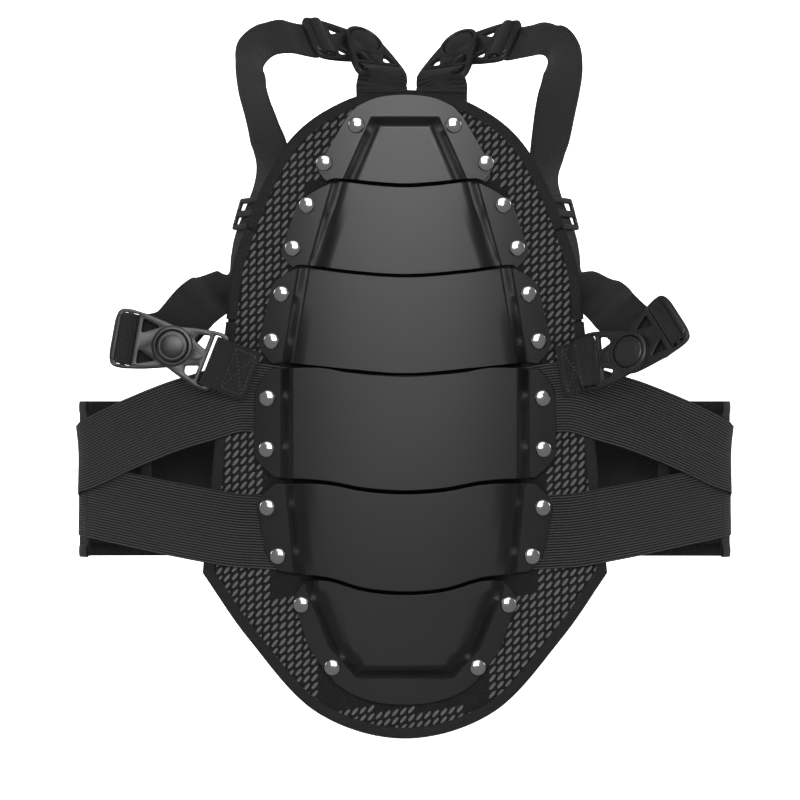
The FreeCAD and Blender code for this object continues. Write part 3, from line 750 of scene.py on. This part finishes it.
def make_pad_piece(number):
    """Foam with its mesh cover and lining, between two cuts."""
    rows = pad_rows(*piece_span(number))
    last = len(rows) - 1
    columns = 72

    def place(u, v, w):
        z = rows[round(v * last)]
        x = (2 * u - 1) * half_width(z)
        radius = PAD_INNER_RADIUS + (PAD_OUTER_RADIUS - PAD_INNER_RADIUS) * w
        edge = 1 - min((half_width(z) - abs(x)) / 0.010, 1)
        radius -= 0.0012 * edge * edge * w
        return Vector((x, depth(radius, x), z))

    bm = form(block(columns, last), place, 0.3, 0.1)
    bmesh.ops.remove_doubles(bm, verts=bm.verts, dist=2e-5)
    bmesh.ops.dissolve_degenerate(bm, edges=bm.edges, dist=2e-5)
    item = piece(bm, "pad_" + str(number), MATERIALS["mesh_fabric"])
    item.data.materials.append(MATERIALS["lining_fabric"])
    for polygon in item.data.polygons:
        if polygon.normal.y > 0.6:
            polygon.material_index = 1
    bend(item, number)
    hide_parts(*PAD_PIECES[number][2])


def lozenge():
    """One knitted lozenge, standing on the XY plane."""
    bm = bmesh.new()
    bmesh.ops.create_circle(bm, cap_ends=True, segments=8, radius=1)
    bmesh.ops.scale(bm, vec=(0.0042, 0.00145, 1), verts=bm.verts)
    grown = bmesh.ops.extrude_face_region(bm, geom=bm.faces[:])
    top = [part for part in grown["geom"] if isinstance(part, bmesh.types.BMVert)]
    bmesh.ops.translate(bm, verts=top, vec=(0, 0, 0.0011))
    bmesh.ops.scale(bm, vec=(0.62, 0.55, 1), verts=top)
    bmesh.ops.recalc_face_normals(bm, faces=bm.faces)
    return bm


def under_plate(x, z):
    """Whether a plate covers that place of the pad, in millimetres."""
    for plate in PLATES.values():
        top, bottom = plate["top"][0][1], plate["bottom"][-1][1]
        (ax, az), (bx, bz) = plate["side"][1:3]
        if bottom - 3 < z < top + 3:
            share = min(max((az - z) / (az - bz), 0), 1)
            if abs(x) < ax + (bx - ax) * share - 6:
                return True
    return False


LOZENGE_TURN = radians(50)


def make_lozenges(number):
    """The raised lozenges of the mesh cover, left out where a plate hides it."""
    low, high = piece_span(number)
    bm = bmesh.new()
    shape = lozenge()
    along_line = Vector((cos(LOZENGE_TURN), sin(LOZENGE_TURN))) * 0.0094
    between = Vector((-sin(LOZENGE_TURN), cos(LOZENGE_TURN))) * 0.0039 + along_line * 0.5
    for i in range(-60, 61):
        for j in range(-130, 131):
            x, z = along_line * i + between * j
            if not low <= z < high or not -0.236 < z < 0.238:
                continue
            if abs(x) > half_width(z) - 0.0055 or under_plate(x / MM, z / MM):
                continue
            turn = Matrix.Rotation(LOZENGE_TURN, 4, "Z")
            add_part(bm, shape, outward_at(x, z, PAD_OUTER_RADIUS - 0.0004) @ turn)
    shape.free()
    item = piece(bm, "mesh_lozenges_" + str(number), MATERIALS["lozenge_yarn"])
    bend(item, number)


# The right half of the outline from the top down, and its outward normals.
EDGE = [Vector((p.y, 0, p.x)) * MM for p in OUTLINE]
EDGE_OUT = []
for index in range(len(EDGE)):
    run = EDGE[min(index + 2, len(EDGE) - 1)] - EDGE[max(index - 2, 0)]
    EDGE_OUT.append(Vector((-run.z, 0, run.x)).normalized())
EDGE_OUT[0] = Vector((0, 0, 1))
EDGE_OUT[-1] = Vector((0, 0, -1))


def binding_strip(bm, stretch):
    """Adds the folded tape over one stretch of edge points and their normals."""
    section = []
    for step in range(9):
        section.append((-BINDING_WIDTH * (1 - step / 8), PAD_OUTER_RADIUS))
    for step in range(1, 8):
        angle = pi / 2 - pi * step / 8
        middle = (PAD_OUTER_RADIUS + PAD_INNER_RADIUS) / 2
        half = (PAD_OUTER_RADIUS - PAD_INNER_RADIUS) / 2
        section.append((0.0004 * cos(angle), middle + half * sin(angle)))
    for step in range(9):
        section.append((-BINDING_WIDTH * step / 8, PAD_INNER_RADIUS))
    columns = len(section) - 1
    rows = len(stretch) - 1

    def place(u, v, w):
        inset, radius = section[round(u * columns)]
        base, out = stretch[round(v * rows)]
        bulge = BINDING_THICKNESS * (w + 0.02)
        if inset >= 0:
            inset += bulge
        elif radius > 0.51:
            radius += bulge
        else:
            radius -= bulge
        point = base + out * inset
        return Vector((point.x, depth(radius, point.x), point.z))

    strip = form(block(columns, rows), place, 0.03, 0.5)
    add_part(bm, strip, Matrix.Identity(4))
    strip.free()


def make_binding(number):
    """The tape that binds the pad's edge, along one piece of the pad."""
    low, high = piece_span(number)
    right = [(point, out) for point, out in zip(EDGE, EDGE_OUT) if low <= point.z <= high]
    left = [(Vector((-p.x, 0, p.z)), Vector((-o.x, 0, o.z))) for p, o in right]
    bm = bmesh.new()
    if number == 1:
        binding_strip(bm, left[::-1] + right[1:])
    elif number == 5:
        binding_strip(bm, right + left[::-1][1:])
    else:
        binding_strip(bm, right)
        binding_strip(bm, left)
    bmesh.ops.recalc_face_normals(bm, faces=bm.faces)
    item = piece(bm, "binding_" + str(number), MATERIALS["binding_tape"])
    bend(item, number)
    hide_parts("edge_binding")


for number in PAD_PIECES:
    make_pad_piece(number)
    make_lozenges(number)
    make_binding(number)


# --- straps and bands ------------------------------------------------------------------------
class Run:
    """A flat strap's path: evenly spaced places, each with its width and outward directions."""

    def __init__(self, stations, spacing=0.002):
        centres = [Vector(centre) * MM for centre, across in stations]
        sides = [Vector(across).normalized() for centre, across in stations]
        for index in range(1, len(sides)):
            if sides[index].dot(sides[index - 1]) < 0:
                sides[index] = -sides[index]
        steps = 60 * (len(stations) - 1)
        dense = [along(centres, step / steps) for step in range(steps + 1)]
        turns = [along(sides, step / steps) for step in range(steps + 1)]
        lengths = [0.0]
        for a, b in zip(dense, dense[1:]):
            lengths.append(lengths[-1] + (b - a).length)
        self.marks = lengths[::60]
        self.length = lengths[-1]
        self.spacing = spacing
        self.dense = dense
        self.turns = turns
        self.lengths = lengths

    def at(self, distance):
        """Centre, width direction and outward direction at a distance along the path."""
        low, high = 0, len(self.lengths) - 2
        while low < high:
            middle = (low + high + 1) // 2
            if self.lengths[middle] <= distance:
                low = middle
            else:
                high = middle - 1
        span = self.lengths[low + 1] - self.lengths[low]
        share = min(max((distance - self.lengths[low]) / span, 0), 1) if span else 0
        centre = self.dense[low].lerp(self.dense[low + 1], share)
        side = self.turns[low].lerp(self.turns[low + 1], share).normalized()
        ahead = self.dense[min(low + 4, len(self.dense) - 1)]
        behind = self.dense[max(low - 3, 0)]
        forward = (ahead - behind).normalized()
        side = (side - forward * side.dot(forward)).normalized()
        return centre, side, forward.cross(side)


def lay(run, start, end, width, thickness, name, material, columns=12, ribs=0, depth_of_rib=0.0):
    """A closed strip along part of a run. Ribs run along it on both faces."""
    rows = max(int((end - start) / run.spacing), 4)
    places = [run.at(start + (end - start) * row / rows) for row in range(rows + 1)]

    def place(u, v, w):
        centre, side, out = places[round(v * rows)]
        edge = min(u, 1 - u) * width / (1.2 * thickness)
        half = thickness / 2 * (0.62 + 0.38 * sqrt(min(edge, 1)))
        if ribs:
            half += depth_of_rib * (abs(sin(pi * u * ribs)) - 0.6)
        return centre + side * (u - 0.5) * width + out * (w - 0.5) * 2 * half

    bm = form(block(columns, rows), place, width, end - start)
    return piece(bm, name, material)


def webbing_piece(run, start, end, name):
    """A length of strap webbing."""
    width = WEBBING_WIDTH * MM
    item = lay(run, start, end, width, WEBBING_THICKNESS * MM, name, MATERIALS["webbing"], 16)
    return item


# --- belt --------------------------------------------------------------------------------------
RIB_PITCH = 2.0
BAND_THICKNESS = 1.5
UPPER_BAND_WIDTH = 52
LOWER_BAND_WIDTH = 55
WING_MIDDLE = -49


def band_stations(free_run, middle_z):
    """The band from its left fold, across the pad, to its right fold."""
    stations = [((-x, y, z), (0, 0, 1)) for x, y, z in reversed(free_run)]
    for step in range(13):
        x = BAND_PAD_REACH * (step / 6 - 1)
        stations.append(((x, depth(BAND_RADIUS * MM, x * MM) / MM, middle_z(x)), (0, 0, 1)))
    return stations + [((x, y, z), (0, 0, 1)) for x, y, z in free_run]


def ribbed(run, start, end, width, name):
    """A length of ribbed elastic band."""
    ribs = round(width / RIB_PITCH)
    size = {"columns": ribs * 4, "ribs": ribs, "depth_of_rib": 0.0004}
    item = lay(run, start, end, width * MM, BAND_THICKNESS * MM, name, MATERIALS["ribbed_elastic"],
        **size)
    return item


def across_fold(item):
    """Bakes a belt piece's placement into its mesh."""
    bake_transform(item)


UPPER_TAIL = [(246.5, 54, -33), (247.6, 63, -36), (246, 71, -37.5), (238, 77, -38.5), (224, 79.5, -39)]
LOWER_TAIL = [(246.5, 57, -64.5), (247.6, 64, -64), (246, 71, -63.5), (238, 77, -63), (224, 79.5, -63)]
UPPER = Run(band_stations(UPPER_BAND_RUN + UPPER_TAIL,
    lambda x: 4 + 9 * (x / BAND_PAD_REACH) ** 2), 0.003)
LOWER = Run(band_stations(LOWER_BAND_RUN + LOWER_TAIL,
    lambda x: -90 + 3 * (x / BAND_PAD_REACH) ** 2), 0.003)
FREE = len(UPPER_BAND_RUN + UPPER_TAIL)
SIDES = ((-1, "left"), (1, "right"))


def distance_at(run, station, side):
    """How far along a band a station of its free run lies, on side -1 or 1."""
    last = len(run.marks) - 1
    index = FREE - 1 - station if side < 0 else last - FREE + 1 + station
    return run.marks[index]


item = ribbed(UPPER, distance_at(UPPER, 2, -1), distance_at(UPPER, 2, 1), UPPER_BAND_WIDTH,
    "upper_band_middle")
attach(item, "lumbar_section")
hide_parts("upper_belt_band")
item = ribbed(LOWER, distance_at(LOWER, 1, -1), distance_at(LOWER, 1, 1), LOWER_BAND_WIDTH,
    "lower_band_middle")
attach(item, "sacral_section")
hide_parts("lower_belt_band_centre")
for side, name in SIDES:
    ends = sorted((distance_at(UPPER, 2, side), distance_at(UPPER, FREE - 1, side)))
    item = ribbed(UPPER, *ends, UPPER_BAND_WIDTH, "upper_band_" + name)
    across_fold(item)
    ends = sorted((distance_at(LOWER, 1, side), distance_at(LOWER, 3, side)))
    item = ribbed(LOWER, *ends, LOWER_BAND_WIDTH, "lower_band_" + name)
    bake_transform(item)
    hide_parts("lower_belt_band_" + name)
    ends = sorted((distance_at(LOWER, 3, side), distance_at(LOWER, FREE - 1, side)))
    item = ribbed(LOWER, *ends, LOWER_BAND_WIDTH, "lower_band_end_" + name)
    across_fold(item)

WING_RUNS = {
    "left": [(241, 50), (246, 57), (247, 65), (246.5, 72), (242, 78.5), (232, 82.0), (150, 84.8),
        (60, 85.5), (-60, 85.5)],
    "right": [(241, 50), (246, 57), (246.5, 63), (245.5, 69), (242, 73), (232, 76), (150, 78.2),
        (60, 79), (-60, 79)],
}


def make_wing(side, name):
    """One rear half of the belt, its bound edges and its closure panel."""
    stations = [((side * x, y, WING_MIDDLE), (0, 0, 1)) for x, y in WING_RUNS[name]]
    run = Run(stations, 0.004)
    item = lay(run, 0, run.length, 0.116, 0.0019, "belt_wing_cloth_" + name,
        MATERIALS["wing_fabric"], 40)
    across_fold(item)
    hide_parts("belt_wing_" + name)
    for level, end in ((-1, "lower"), (1, "upper")):
        edge = [((side * x, y, WING_MIDDLE + level * 54.5), (0, 0, 1)) for x, y in WING_RUNS[name]]
        hem = Run(edge, 0.004)
        item = lay(hem, 0, hem.length, 0.0095, 0.0030, "wing_hem_" + end + "_" + name,
            MATERIALS["webbing"], 8)
        across_fold(item)
    y, node = (83.5, "hook_panel_left") if side < 0 else (81.2, "loop_panel_right")
    panel = Run([((x, y, WING_MIDDLE), (0, 0, 1)) for x in (-55, -20, 20, 55)], 0.004)
    item = lay(panel, 0, panel.length, 0.096, 0.0015, node + "_pile", MATERIALS["hook_tape"], 30)
    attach(item, name + "_wing")
    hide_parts(node)


def make_spreader(side, name):
    """The upright tape behind the fold that holds the two bands apart."""
    places = [((side * x, 27 + (x - 191) * 0.47, -46), (0, 0, 1)) for x in (191, 194, 197, 199)]
    run = Run(places, 0.001)
    item = lay(run, 0, run.length, 0.096, 0.0012, "spreader_tape_" + name, MATERIALS["webbing"], 30)
    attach(item, "lumbar_section")
    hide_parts("belt_spreader_" + name)


for side, name in SIDES:
    make_wing(side, name)
    make_spreader(side, name)


# --- buckles -----------------------------------------------------------------------------------
def facing(origin, normal, direction):
    """A place with Z along the normal and X as near as it can be to the direction."""
    z = Vector(normal).normalized()
    x = Vector(direction)
    x = (x - z * x.dot(z)).normalized()
    turn = Matrix((x, z.cross(x), z)).transposed().to_4x4()
    return Matrix.Translation(Vector(origin) * MM) @ turn


def frame_place(name):
    """A buckle frame's place: X towards its webbing slot."""
    origin, normal, slot_direction, lock_direction = BUCKLES[name]
    return facing(origin, normal, slot_direction)


def lock_place(name):
    """A ladder lock's place: X away from its bars."""
    origin, normal, slot_direction, lock_direction = BUCKLES[name]
    return facing(origin, normal, [-value for value in lock_direction])


def rounded(points, radius, steps=4):
    """A closed outline with its corners rounded off."""
    corners = [Vector((x, y, 0)) for x, y in points]
    result = []
    for index, corner in enumerate(corners):
        before = corners[index - 1]
        after = corners[(index + 1) % len(corners)]
        a = corner + (before - corner) * min(radius / max((before - corner).length, 1e-6), 0.48)
        b = corner + (after - corner) * min(radius / max((after - corner).length, 1e-6), 0.48)
        result += [rounded_corner(a, corner, b, step / steps) for step in range(steps + 1)]
    return result


def circle(radius, steps=40, x=0.0):
    """Points round a circle."""
    return [Vector((x + radius * cos(2 * pi * i / steps), radius * sin(2 * pi * i / steps),
        0)) for i in range(steps)]


def turning(points):
    """Twice the area inside an outline: above zero when it runs anticlockwise."""
    return sum(a.x * b.y - b.x * a.y for a, b in zip(points, points[1:] + points[:1]))


def moulding(outline, windows, bottom, thickness, rounding):
    """A flat moulded part with rounded rims, in its own frame."""
    curve = bpy.data.curves.new("moulding", "CURVE")
    curve.dimensions = "2D"
    curve.fill_mode = "BOTH"
    curve.extrude = thickness * MM / 2 - rounding * MM
    curve.bevel_depth = rounding * MM
    curve.bevel_resolution = 2
    curve.offset = -rounding * MM
    for index, points in enumerate([outline] + windows):
        clockwise = turning(points) < 0
        if clockwise != (index > 0):
            points = points[::-1]
        spline = curve.splines.new("POLY")
        spline.points.add(len(points) - 1)
        for target, point in zip(spline.points, points):
            target.co = (point.x * MM, point.y * MM, 0, 1)
        spline.use_cyclic_u = True
    item = bpy.data.objects.new("moulding", curve)
    bpy.context.collection.objects.link(item)
    bpy.context.view_layer.update()
    graph = bpy.context.evaluated_depsgraph_get()
    mesh = bpy.data.meshes.new_from_object(item.evaluated_get(graph))
    bm = bmesh.new()
    bm.from_mesh(mesh)
    bpy.data.objects.remove(item)
    bpy.data.curves.remove(curve)
    bpy.data.meshes.remove(mesh)
    bmesh.ops.remove_doubles(bm, verts=bm.verts, dist=2e-6)
    bmesh.ops.translate(bm, verts=bm.verts, vec=(0, 0, (bottom + thickness / 2) * MM))
    bmesh.ops.recalc_face_normals(bm, faces=bm.faces)
    return bm


def both_sides(points):
    """An outline that is symmetric about the local X axis, from its +y half."""
    return points + [(x, -y) for x, y in reversed(points)]


def upright(profile):
    """A round part's half profile in millimetres, made metres."""
    return [(x * MM, z * MM) for x, z in profile]


def finish_part(bm, name, place, body, nodes, material="buckle_plastic"):
    """Puts a moulded part in its place on its body."""
    bmesh.ops.transform(bm, matrix=place, verts=bm.verts)
    item = piece(bm, name, MATERIALS[material])
    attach(item, body)
    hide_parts(*nodes)
    return item


FRAME_OUTLINE = both_sides([(-15.5, 4), (-12.5, 9.5), (-8, 13.6), (0, 15.8), (12, 19.2),
    (27, 22.2), (35, 22.6), (38.2, 20.5)])
FRAME_SLOT = both_sides([(27, 19.6), (32.5, 19.6)])
FRAME_WINDOW = [(14.2, 10.2), (23.8, 6.4), (23.8, 17.6), (15.5, 15.2)]
COLLAR = upright([(12.4, 0.4), (12.4, 5.0), (12.8, 5.5), (14.6, 5.5), (15.4, 5.0), (15.5, 4.4),
    (15.5, 0.4), (12.4, 0.4)])
CUP_FLOOR = upright([(0, 0.1), (12.6, 0.1), (12.6, 1.2), (0, 1.2)])
PIN = upright([(0, 0.3), (5, 0.3), (5, -3.3), (7, -3.3), (7, -4.4), (0, -4.5)])
BUTTON = upright([(0, 6.2), (3, 6.12), (6, 5.88), (8.6, 5.5), (9.2, 5.25), (9.6, 5.35),
    (10.6, 5.2), (11.4, 4.9), (11.9, 4.4), (12, 3.4), (0, 3.4)])
LOCK_OUTLINE = both_sides([(15, 4), (12, 9.5), (7.5, 13.4), (-2, 16.2), (-20, 20.4), (-36, 22.6),
    (-44, 21.6), (-46.2, 14)])
LOCK_GAP = both_sides([(-29, 19.6), (-40.5, 19.6)])
LOCK_WINDOW = [(-12.5, 12.6), (-24.8, 6.6), (-24.8, 16.8)]
OUTER_RIM = [(-41.2, 18.6), (-45.6, 15.5)]
MIDDLE_BAR = [(-33.0, 20.2), (-37.4, 20.2)]


def make_frame(name, body):
    """A buckle's frame: windowed plate, collar, cup floor and pivot pin."""
    windows = [rounded(FRAME_SLOT, 1.6), rounded(FRAME_WINDOW, 1.6)]
    windows.append(rounded([(x, -y) for x, y in FRAME_WINDOW], 1.6))
    windows.append(circle(12.5))
    bm = moulding(rounded(FRAME_OUTLINE, 3.5), windows, 0, 4.6, 0.8)
    for profile in (COLLAR, CUP_FLOOR, PIN):
        part = revolve(profile, 48)
        add_part(bm, part, Matrix.Identity(4))
        part.free()
    rib = moulding(rounded(both_sides([(16.2, 4.2), (24.2, 1.4)]), 0.8), [], 4.3, 1.1, 0.4)
    add_part(bm, rib, Matrix.Identity(4))
    rib.free()
    finish_part(bm, "frame_" + name, frame_place(name), body, ["buckle_frame_" + name])


def make_lock(name):
    """A ladder lock: hub, windowed plate and the two bars that grip the strap."""
    windows = [rounded(LOCK_GAP, 1.6), rounded(LOCK_WINDOW, 1.4)]
    windows.append(rounded([(x, -y) for x, y in LOCK_WINDOW], 1.4))
    windows.append(circle(7.6))
    bm = moulding(rounded(LOCK_OUTLINE, 4.5), windows, -4.5, 4.0, 0.8)
    for points, bottom, height in ((OUTER_RIM, -4.4, 5.4), (MIDDLE_BAR, -4.2, 5.0)):
        bar = moulding(rounded(both_sides(points), 2.0), [], bottom, height, 1.3)
        add_part(bm, bar, Matrix.Identity(4))
        bar.free()
    finish_part(bm, "lock_plate_" + name, lock_place(name), "lock_" + name, ["ladder_lock_" + name])


def make_button(name):
    """The domed push button inside the collar."""
    bm = revolve(BUTTON, 48)
    finish_part(bm, "button_" + name, frame_place(name), "button_" + name, ["release_button_" + name])


for name in BUCKLES:
    make_frame(name, "shoulder_section" if name.startswith("top") else "lumbar_section")
    make_lock(name)
    make_button(name)


def in_place(place, point, across=(0, 1, 0)):
    """A strap station given in a buckle's own frame, in millimetres."""
    centre = place @ (Vector(point) * MM)
    return (tuple(centre / MM), tuple(place.to_3x3() @ Vector(across)))


def make_shoulder_strap(side):
    """One strap from its top buckle, over the shoulder and down to its side buckle."""
    top = lock_place("top_" + side)
    low = lock_place("side_" + side)
    start = [in_place(top, (x, 0, z)) for x, z in reversed(TOP_STRAP_END[1:])]
    middle = SHOULDER_STRAP[side]
    lower = LOWER_STRAP[side][1:]
    approach = [in_place(low, p, a) for p, a in SIDE_STRAP_APPROACH["side_" + side]]
    turn = [in_place(low, (x, 0, z)) for x, z in STRAP_TURN]
    stations = start + middle + lower + approach[1:] + turn
    run = Run(stations)
    marks = run.marks
    a = len(start)
    b = a + len(middle) - 1
    c = b + len(lower)
    item = webbing_piece(run, 0, marks[a + 3], "strap_top_end_" + side)
    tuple(run.at(marks[a])[0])
    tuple(run.at(marks[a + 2])[0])
    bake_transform(item)
    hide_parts("shoulder_strap_end_" + side)
    item = webbing_piece(run, marks[a + 3], marks[b], "strap_shoulder_" + side)
    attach(item, "shoulder_section")
    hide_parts("shoulder_strap_" + side)
    chain = [("shoulder_section", "upper_back_section", b, b + 1)]
    chain += [("upper_back_section", "mid_back_section", b + 1, b + 3)]
    chain += [("mid_back_section", "lumbar_section", b + 3, c)]
    for number, (upper, under, first, last) in enumerate(chain):
        item = webbing_piece(run, marks[first], marks[last],
            "strap_side_" + str(number + 1) + "_" + side)
        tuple(run.at(marks[first])[0])
        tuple(run.at(marks[last])[0])
        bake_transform(item)
        if number == 1:
            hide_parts("lower_strap_" + side)
    item = webbing_piece(run, marks[c], run.length, "strap_side_end_" + side)
    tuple(run.at(marks[c])[0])
    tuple(run.at(marks[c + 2])[0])
    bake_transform(item)
    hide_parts("lower_strap_end_" + side)


def make_adjuster(side):
    """The three-bar slide that sets a strap's length."""
    (upper, across), (lower, same) = SHOULDER_STRAP[side][-2:]
    upper, lower = Vector(upper), Vector(lower)
    width = Vector(across).normalized()
    out = (upper - lower).normalized().cross(width).normalized()
    if out.x * upper.x < 0:
        out = -out
    centre = upper.lerp(lower, 0.6) + out * 1.7
    outline = rounded([(-23, -12.5), (23, -12.5), (23, 12.5), (-23, 12.5)], 3)
    slots = []
    for start in (2.6, -8.4):
        slots.append(rounded([(-20, start), (20, start), (20, start + 5.8), (-20, start + 5.8)], 1.5))
    bm = moulding(outline, slots, 0, 3, 0.8)
    finish_part(bm, "slide_" + side, facing(centre, out, width), "adjuster_" + side,
        ["strap_adjuster_" + side])


PATCH_RIGHT = [(126, 34.6), (115.5, 32.4)]


def make_anchors(side):
    """The webbing loops that tie the top and side buckles to the pad."""
    place = frame_place("top_" + side)
    loop = [in_place(place, (x, 0, z)) for x, z in ANCHOR_LOOP]
    x = loop[0][0][0]
    across = (1, x / 521, 0)
    inner = [((x, depth(0.5195, x * MM) / MM, z), across) for z in (226, 242.8)]
    outer = [((x, depth(0.5216, x * MM) / MM, z), across) for z in (244.8, 239.4)]
    run = Run(inner + loop + outer)
    item = webbing_piece(run, 0, run.length, "top_anchor_" + side)
    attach(item, "shoulder_section")
    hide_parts("top_anchor_webbing_" + side)
    place = frame_place("side_" + side)
    loop = [in_place(place, (x, 0, z)) for x, z in ANCHOR_LOOP]
    if side == "right":
        layers = []
        for radius in (0.5213, 0.5230):
            layers.append([((x, depth(radius, x * MM) / MM, z), (0.2, 0.047, -0.98)) for x,
                z in PATCH_RIGHT])
        run = Run(layers[0][::-1] + loop + layers[1])
    else:
        over = [in_place(place, (x, 0, z)) for x, z in ((46, 3.4), (53, 1.0), (64, 0.4))]
        run = Run([in_place(place, (58, 0, -1.6))] + loop + over)
    item = webbing_piece(run, 0, run.length, "side_anchor_" + side)
    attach(item, "lumbar_section")
    sew(run, run.length - 0.0195, run.length - 0.003, 0.0155, "side_anchor_sewing_" + side,
        "lumbar_section")
    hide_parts("side_anchor_webbing_" + side)


def sew(run, start, end, half, name, body):
    """A sewn box with a cross in it on the outer face of a strap."""
    bm = bmesh.new()
    corners = [Vector((-half, start)), Vector((half, start)), Vector((half, end)), Vector((-half, end))]
    lines = list(zip(corners, corners[1:] + corners[:1])) + [(corners[0], corners[2]),
        (corners[1], corners[3])]
    for a, b in lines:
        count = max(round((b - a).length / 0.0030), 1)
        for step in range(count):
            across, distance = a.lerp(b, (step + 0.5) / count)
            centre, side, out = run.at(distance)
            forward = side.cross(out)
            heading = (side * (b - a).x - forward * (b - a).y).normalized()
            place = Matrix((heading, out.cross(heading), out)).transposed().to_4x4()
            place.translation = centre + side * across + out * 0.00085
            stitch = bmesh.ops.create_icosphere(bm, subdivisions=1, radius=1)["verts"]
            bmesh.ops.scale(bm, vec=(0.0012, 0.0004, 0.00035), verts=stitch)
            bmesh.ops.transform(bm, matrix=place, verts=stitch)
    item = piece(bm, name, MATERIALS["thread"])
    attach(item, body)


for side, name in SIDES:
    make_shoulder_strap(name)
    make_adjuster(name)
    make_anchors(name)


# --- camera, light and backdrop ----------------------------------------------------------------
camera = bpy.data.cameras.new("camera")
camera.lens = 182
camera.sensor_width = 36
viewer = bpy.data.objects.new("camera", camera)
viewer.location = (-0.0037, -3.02, 0.0111)
viewer.rotation_euler = (pi / 2, 0, 0)
bpy.context.collection.objects.link(viewer)
bpy.context.scene.camera = viewer


def area_light(name, place, aim, size, power, height=None):
    """A soft box that points at a place."""
    light = bpy.data.lights.new(name, "AREA")
    light.energy = power
    light.size = size
    if height:
        light.shape = "RECTANGLE"
        light.size_y = height
    lamp = bpy.data.objects.new(name, light)
    lamp.location = place
    direction = Vector(aim) - Vector(place)
    lamp.rotation_euler = direction.to_track_quat("-Z", "Y").to_euler()
    bpy.context.collection.objects.link(lamp)


area_light("high_front", (0.0, -3.0, 0.90), (0, 0, 0.05), 1.8, 46, 1.2)
area_light("overhead", (0.0, -1.7, 2.0), (0, 0, 0.05), 2.6, 17, 1.7)
area_light("left_edge", (-2.4, 0.3, 0.9), (0, 0, 0), 0.9, 5)
area_light("right_edge", (2.4, 0.3, 0.9), (0, 0, 0), 0.9, 5)
world = bpy.data.worlds.new("studio")
world.use_nodes = True
world.node_tree.nodes["Background"].inputs["Color"].default_value = (1, 1, 1, 1)
world.node_tree.nodes["Background"].inputs["Strength"].default_value = 0.16
bpy.context.scene.world = world
bpy.context.scene.view_settings.view_transform = "Standard"


STUDIO_FLOOR = -0.262
STUDIO_RADIUS = 5.5
STUDIO_CURVE = 0.9
STUDIO_HEIGHT = 3.4


def make_backdrop():
    """A pale round studio: a floor that curves up into a wall, brightest behind the object."""
    flat = STUDIO_RADIUS - STUDIO_CURVE
    profile = [(x, STUDIO_FLOOR) for x in (0, 1, 2, 3, flat)]
    for angle in range(10, 91, 10):
        out, up = sin(radians(angle)), 1 - cos(radians(angle))
        profile.append((flat + STUDIO_CURVE * out, STUDIO_FLOOR + STUDIO_CURVE * up))
    profile += [(STUDIO_RADIUS, 2), (STUDIO_RADIUS, STUDIO_HEIGHT)]
    bm = revolve(profile, 64)
    for face in bm.faces:
        face.normal_flip()
    paper = Finish("paper", (0.9, 0.9, 0.9), 0.9, 0, 0.1)
    paper.shader.inputs["Emission Color"].default_value = (1, 1, 1, 1)
    split = paper.node("ShaderNodeSeparateXYZ")
    paper.join(paper.place(), split.inputs["Vector"])
    glow = paper.node("ShaderNodeMapRange")
    glow.interpolation_type = "SMOOTHSTEP"
    for socket, value in (("From Min", -1.2), ("From Max", 0.7), ("To Min", 0.12), ("To Max", 0.95)):
        glow.inputs[socket].default_value = value
    paper.join(split.outputs["Y"], glow.inputs["Value"])
    paper.join(glow.outputs["Result"], paper.shader.inputs["Emission Strength"])
    item = piece(bm, "backdrop", paper.material)
    item.visible_glossy = False


make_backdrop()
